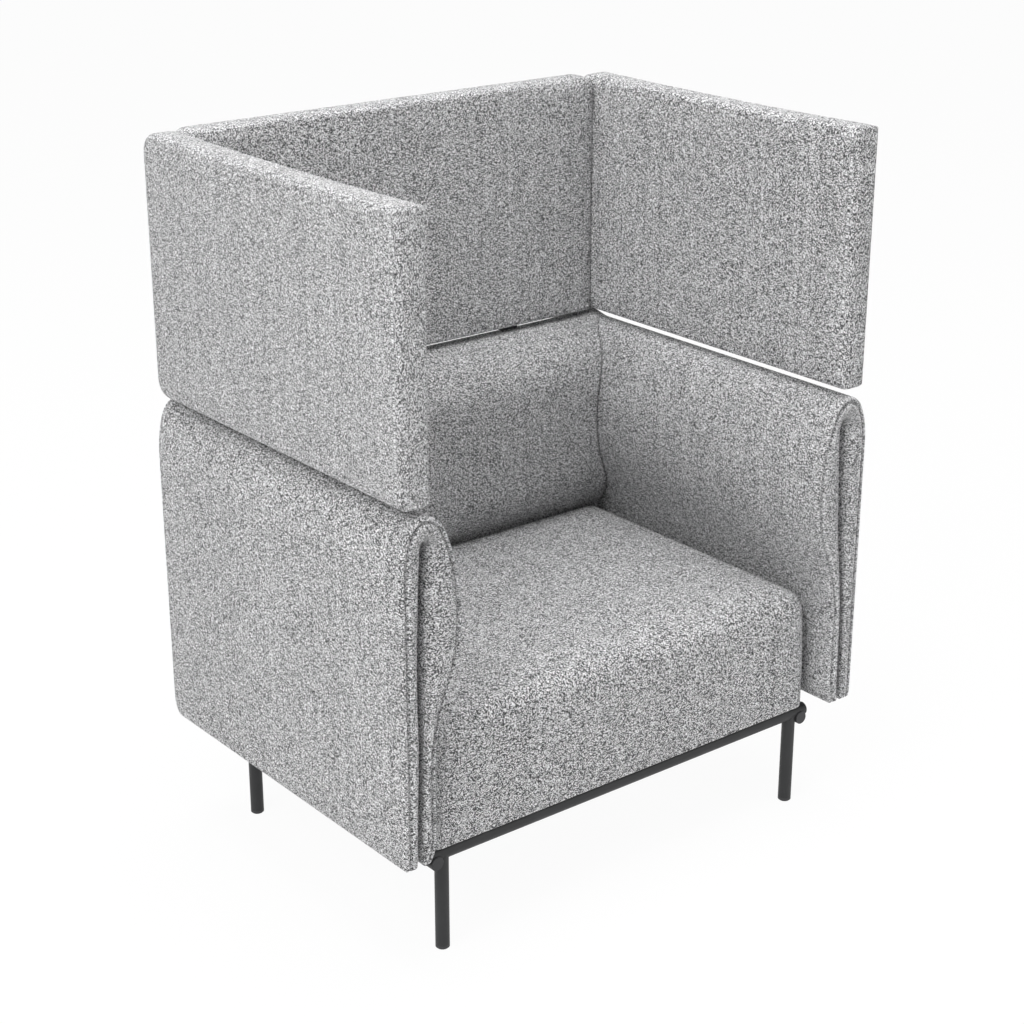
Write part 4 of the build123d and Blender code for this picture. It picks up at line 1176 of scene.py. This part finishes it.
@dataclass
class ArmProfile:
    """An arm's end view, which the back's ends also follow."""

    foot_x: float = 0.460
    foot_z: float = 0.382
    bulge_x: float = 0.404
    bulge_z: float = 0.640
    inner_crest: Triple = (0.480, 0.8215, 0.0485)
    outer_crest: Triple = (0.468, 0.823, 0.044)
    outer_x: float = 0.523
    shoulder_z: float = 0.730
    bottom_z: float = 0.203
    slot_width: float = 0.011
    slot_top_z: float = 0.768
    slot_line: Tuple[Pair, ...] = ((0.203, 0.4935), (0.500, 0.484), (0.768, 0.470))
    taper_width: float = 0.011
    taper_height: float = 0.042
    crest_gap: float = 0.003
    ogee_steps: int = 12
    flank_steps: int = 14
    crest_steps: int = 12
    taper_steps: int = 6

    def sitters_side(self) -> Array:
        """The inner side from its foot's top up to the crest."""
        lower = ogee((self.foot_x, self.foot_z), (self.bulge_x, self.bulge_z), self.ogee_steps)
        return np.concatenate([lower, self.over(self.bulge_x, self.bulge_z, self.inner_crest)[1:]])

    def over(self, flank_x: float, flank_z: float, crest: Triple) -> Array:
        """The side above an upright point of the flank, up to the crest's top.

        Args:
            flank_x: where the flank stands upright.
            flank_z: that point's height.
            crest: where the crest's top stands, its height, and its radius.

        Returns:
            Points from there to the crest's top.
        """
        crest_x, crest_z, small = crest
        centre_z = crest_z - small
        width, drop = abs(crest_x - flank_x), centre_z - flank_z
        radius = (drop * drop + width * width - small * small) / (2 * (width - small))
        tilt = math.degrees(math.atan2(drop, radius - width))
        start, turn = (180.0, -tilt) if flank_x < crest_x else (0.0, tilt)
        inward = math.copysign(radius, crest_x - flank_x)
        middle = (flank_x + inward, flank_z)
        flank = arc(middle, radius, start, start + turn, self.flank_steps)
        roll = arc((crest_x, centre_z), small, start + turn, 90, self.crest_steps)
        return np.concatenate([flank, roll[1:]])

    def skin(self, foot_round: float) -> Array:
        """The whole skin.

        Args:
            foot_round: how far the feet's rounding reaches below it.

        Returns:
            Its points from foot to foot.
        """
        foot = self.bottom_z + foot_round
        outer = self.over(self.outer_x, self.shoulder_z, self.outer_crest)[::-1]
        outer = outer[outer[:, 0] > self.inner_crest[0] + self.crest_gap]
        turn = np.radians(np.linspace(90.0, 0.0, self.taper_steps + 1))
        taper_x = self.foot_x + self.taper_width * (1.0 - np.cos(turn))
        taper = np.stack([taper_x, foot + self.taper_height * (1.0 - np.sin(turn))], 1)
        return np.concatenate([taper, self.sitters_side(), outer, [(self.outer_x, foot)]])

    def slot_middle(self, height: Array) -> Array:
        """How far out the slot's middle line stands at each height."""
        levels, places = zip(*self.slot_line)
        return np.polyval(np.polyfit(levels, places, 2), height)


@dataclass
class Arm:
    """One folded arm with its boards, foam, bolts and bars."""

    finishes: Finishes
    side: Side
    profile: ArmProfile = field(default_factory=ArmProfile)
    rear_corner: float = 0.036
    front_corner: float = 0.014
    lobe_length: float = 0.055
    lobe_rise: float = 0.0095
    lobe_width: float = 0.006
    lobe_start: float = 1.25
    lobe_height: float = 0.09
    lobe_blend: float = 0.03
    swell: float = 0.0022
    mark: float = 11.0
    front: float = field(init=False)
    rear: float = field(init=False)

    def __post_init__(self) -> None:
        """Reads from the frame where the arm starts and ends."""
        low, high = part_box(f"arm_cover_{self.side.word}")
        self.front, self.rear = low.y, high.y

    def build(self) -> None:
        """Makes the folded pad and dresses what it hides."""
        word, profile = self.side.word, self.profile
        pad = FoldedPad(
            profile.skin(FoldedPad.foot_round), profile.slot_middle, profile.slot_width / 2,
            profile.slot_top_z, self.ends, self.placed, patch=self.mark + self.side.value,
        )
        cover = Cover(f"arm_pad_{word}", pad.patches(), swell=self.swell)
        cover.make(self.finishes, f"arm_cover_{word}", f"arm_foam_{word}")
        self.finishes.dress(TIMBER_UPRIGHT, f"arm_inner_board_{word}", f"arm_outer_board_{word}")
        self.finishes.dress(ZINC, f"arm_bolts_{word}")
        self.finishes.dress(STEEL, f"arm_support_bars_{word}")

    def ends(self, height: Array) -> Tuple[Array, Array]:
        """The arm's two ends, with both lower corners rounded.

        Args:
            height: the heights.

        Returns:
            The front and the rear at each of them.
        """
        cuts = []
        for radius in (self.front_corner, self.rear_corner):
            left = radius - np.clip(height - self.profile.bottom_z, 0.0, radius)
            cuts.append(radius - np.sqrt(radius**2 - left**2))
        return self.front + cuts[0], self.rear - cuts[1]

    def placed(self, across: Array, up: Array, along: Array) -> Array:
        """Sets the end view along the arm, whose crest swells to a lobe at the rear.

        Args:
            across: how far out each point stands.
            up: its height.
            along: its place along the arm.

        Returns:
            Points of the chair.
        """
        near = np.clip((along - self.rear) / self.lobe_length + self.lobe_start, 0.0, 1.0)
        high = np.clip((up - self.profile.shoulder_z) / self.lobe_height, 0.0, 1.0) ** 2
        lobe = eased(near) * high
        outer = np.clip((across - self.profile.inner_crest[0]) / self.lobe_blend, 0.0, 1.0)
        across = across + self.lobe_width * lobe * outer
        return np.stack([self.side.value * across, along, up + self.lobe_rise * lobe], -1)


@dataclass
class Back:
    """The folded back between the arms, with its boards, foam, bolts and uprights."""

    finishes: Finishes
    arm: ArmProfile = field(default_factory=ArmProfile)
    rear_y: float = 0.3785
    crest_z: float = 0.828
    shoulder: float = 0.030
    bulge_y: float = 0.2275
    bulge_top: float = 0.716
    bulge_low: float = 0.530
    foot_y: float = 0.2945
    foot_z: float = 0.372
    slot_y: float = 0.3475
    slot_top: float = 0.775
    clearance: float = 0.0006
    swell: float = 0.0045
    mark: float = 21.0
    arc_steps: int = 10

    def skin(self, foot_round: float) -> Array:
        """The back's skin.

        Args:
            foot_round: how far the feet's rounding reaches below it.

        Returns:
            Its points from the front leaf's foot over the crest to the rear leaf's foot.
        """
        front = ogee((self.foot_y, self.foot_z), (self.bulge_y, self.bulge_low), self.arc_steps)
        roll, small = self.crest_z - self.bulge_top, self.shoulder
        crest = arc((self.bulge_y + roll, self.bulge_top), roll, 180, 90, 2 * self.arc_steps)
        rear = arc((self.rear_y - small, self.crest_z - small), small, 90, 0, self.arc_steps)
        foot = self.arm.bottom_z + foot_round
        near, far = [(self.foot_y, foot)], [(self.rear_y, foot)]
        return np.concatenate([near, front, crest, rear, far])

    def ends(self, height: Array) -> Tuple[Array, Array]:
        """The back's two ends, which follow the arms.

        Args:
            height: the heights.

        Returns:
            The left and the right end at each of them.
        """
        inner = self.arm.sitters_side()
        half = np.interp(height, inner[:, 1], inner[:, 0]) - self.clearance
        return -half, half

    def placed(self, depth: Array, up: Array, along: Array) -> Array:
        """Points of the end view set across the chair."""
        return np.stack([along, depth, up], -1)

    def build(self) -> None:
        """Makes the folded pad and dresses what it hides."""
        pad = FoldedPad(
            self.skin(FoldedPad.foot_round), lambda z: np.full(np.shape(z), self.slot_y),
            self.arm.slot_width / 2, self.slot_top, self.ends, self.placed,
            fan=26, cells=64, end_round=0.010, patch=self.mark, fold_high=(0.009, 0.008),
        )
        cover = Cover("back_pad", pad.patches(), swell=self.swell)
        cover.make(self.finishes, "back_cover", "back_foam")
        self.finishes.dress(TIMBER_UPRIGHT, "back_inner_board", "back_outer_board")
        self.finishes.dress(ZINC, "back_bolts")
        self.finishes.dress(STEEL, *both("back_upright"))


@dataclass
class Screens:
    """The three padded screens above the arms and back."""

    finishes: Finishes
    edge: float = 0.011
    outer_edge: float = 0.013
    side_sag: float = 0.0035
    back_drop: float = 0.0018
    rear_corner: float = 0.034
    front_corner: float = 0.006
    back_corner: float = 0.024
    back_foot: float = 0.008
    swell: float = 0.0024
    side_mark: float = 31.0
    back_mark: float = 41.0

    def build(self) -> None:
        """Makes the three screens and dresses what joins them."""
        for side in Side:
            self._side_screen(side)
        self._back_screen()
        self.finishes.dress(TIMBER_ALONG, *both("screen_side_board"))
        self.finishes.dress(TIMBER_ACROSS, "screen_back_board")
        fixings = ("corner_brackets", "bracket_screws", "post_screws")
        self.finishes.dress(ZINC, *(f"screen_{fixing}" for fixing in fixings))

    def _side_screen(self, side: Side) -> None:
        """Makes one side screen, whose rear corners are rounder than its front ones.

        Args:
            side: which of the two.
        """
        word = side.word
        low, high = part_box(f"screen_side_cover_{word}")
        inner, outer = sorted((abs(low.x), abs(high.x)))
        pad = BlockPad(
            low=(low.y, low.z), high=(high.y, high.z),
            corners=(self.front_corner, self.rear_corner, self.rear_corner, self.front_corner),
            thickness=(inner, outer), top_round=self.outer_edge, bottom_round=self.edge,
            lying=Lying.FACING_SIDE, cells=(52, 32), wall_rows=5, mirror=side is Side.LEFT,
            patch=self.side_mark + side.value, seams=(inner + self.edge,), sag=self.side_sag,
        )
        cover = Cover(f"screen_panel_{word}", pad.patches(), swell=self.swell)
        cover.make(self.finishes, f"screen_side_cover_{word}", f"screen_side_foam_{word}")

    def _back_screen(self) -> None:
        """Makes the back screen, which stands between the side screens."""
        low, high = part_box("screen_back_cover")
        pad = BlockPad(
            low=(-high.x, low.z - self.back_drop), high=(-low.x, high.z),
            corners=(self.back_foot, self.back_foot, self.back_corner, self.back_corner),
            thickness=(low.y, high.y), top_round=self.edge, bottom_round=self.edge,
            lying=Lying.FACING_FRONT, cells=(60, 32), wall_rows=5, patch=self.back_mark,
            seams=(low.y + self.edge, high.y - self.edge),
        )
        cover = Cover("screen_panel_back", pad.patches(), swell=self.swell)
        cover.make(self.finishes, "screen_back_cover", "screen_back_foam")


# ---- studio
@dataclass
class Lamp:
    """One soft studio lamp."""

    name: str
    place: Triple
    size: float
    power: float


@dataclass
class Studio:
    """A pale floor, a white surround, soft lamps and the camera."""

    surround: float = 0.44
    white_share: float = 0.95
    floor_half: float = 30.0
    floor_colour: Tuple[float, ...] = (0.90, 0.90, 0.90, 1.0)
    lamps: Tuple[Lamp, ...] = (
        Lamp("key_lamp", (-4.7, -1.6, 4.8), 3.2, 199.0),
        Lamp("front_lamp", (2.2, -5.0, 3.4), 3.0, 34.0),
        Lamp("top_lamp", (0.0, 0.2, 5.2), 3.6, 189.0),
    )
    eye: Triple = (-2.22722, -2.79385, 1.99340)
    middle: Triple = (0.0, 0.0, 0.65)
    azimuth: float = -38.49
    elevation: float = 21.30
    lens: float = 73.34
    sensor: float = 36.0

    def build(self) -> None:
        """Makes the floor, the surround, the lamps and the camera."""
        self._floor()
        self._world()
        for lamp in self.lamps:
            self._lamp(lamp)
        self._camera()
        bpy.context.scene.view_settings.view_transform = "Standard"

    def _floor(self) -> None:
        """Makes a wide pale floor that is near white where it is seen and keeps the shadow."""
        low, high = -self.floor_half, self.floor_half
        mesh = bpy.data.meshes.new("studio_floor")
        corners = [(low, low, 0), (high, low, 0), (high, high, 0), (low, high, 0)]
        mesh.from_pydata(corners, [], [(0, 1, 2, 3)])
        floor = linked("studio_floor", mesh)
        graph = Graph("pale_floor")
        grain = graph.noise(graph.place(), 40.0, 3.0, 0.6)
        paint = graph.principled(
            Base_Color=self.floor_colour, Roughness=0.85 + grain * 0.1, Specular_IOR_Level=0.2
        )
        glow = graph.add("ShaderNodeEmission", {}, {"Color": WHITE, "Strength": 1.0})
        share = graph.seen_plainly() * self.white_share
        shader = graph.add("ShaderNodeMixShader", {}, {0: share, 1: paint, 2: glow})
        mesh.materials.append(graph.end(shader))

    def _world(self) -> None:
        """Makes an even surround that is white where the camera, gloss or glass sees it."""
        graph = Graph("surround", world=True)
        strength = self.surround + (1.0 - self.surround) * graph.seen_plainly()
        shader = graph.add("ShaderNodeBackground", {}, {"Color": WHITE, "Strength": strength})
        bpy.context.scene.world = graph.end(shader)

    def _lamp(self, lamp: Lamp) -> None:
        """Makes one square soft lamp, aimed at the middle of the chair.

        Args:
            lamp: the lamp.
        """
        light = bpy.data.lights.new(lamp.name, "AREA")
        light.energy, light.size = lamp.power, lamp.size
        holder = linked(lamp.name, light)
        holder.location = lamp.place
        aim = Vector(self.middle) - Vector(lamp.place)
        holder.rotation_euler = aim.to_track_quat("-Z", "Y").to_euler()

    def _camera(self) -> None:
        """Makes the camera at the photograph's angle."""
        a, e = math.radians(self.azimuth), math.radians(self.elevation)
        back = Vector((math.sin(a) * math.cos(e), -math.cos(a) * math.cos(e), math.sin(e)))
        right = Vector((math.cos(a), math.sin(a), 0.0))
        up = back.cross(right)
        data = bpy.data.cameras.new("camera")
        data.sensor_width, data.lens = self.sensor, self.lens
        camera = linked("camera", data)
        turn = Matrix((right, up, back)).transposed().to_4x4()
        camera.matrix_world = Matrix.Translation(self.eye) @ turn
        bpy.context.scene.camera = camera


def main() -> None:
    """Builds the chair's sub-assemblies in order, then the studio."""
    logging.basicConfig(level=logging.INFO, format="%(message)s")
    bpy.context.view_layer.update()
    finishes = Finishes()
    TubeBase(finishes).build()
    Seat(finishes).build()
    for side in Side:
        Arm(finishes, side).build()
    Back(finishes).build()
    Screens(finishes).build()
    Studio().build()


if __name__ == "__main__":
    main()
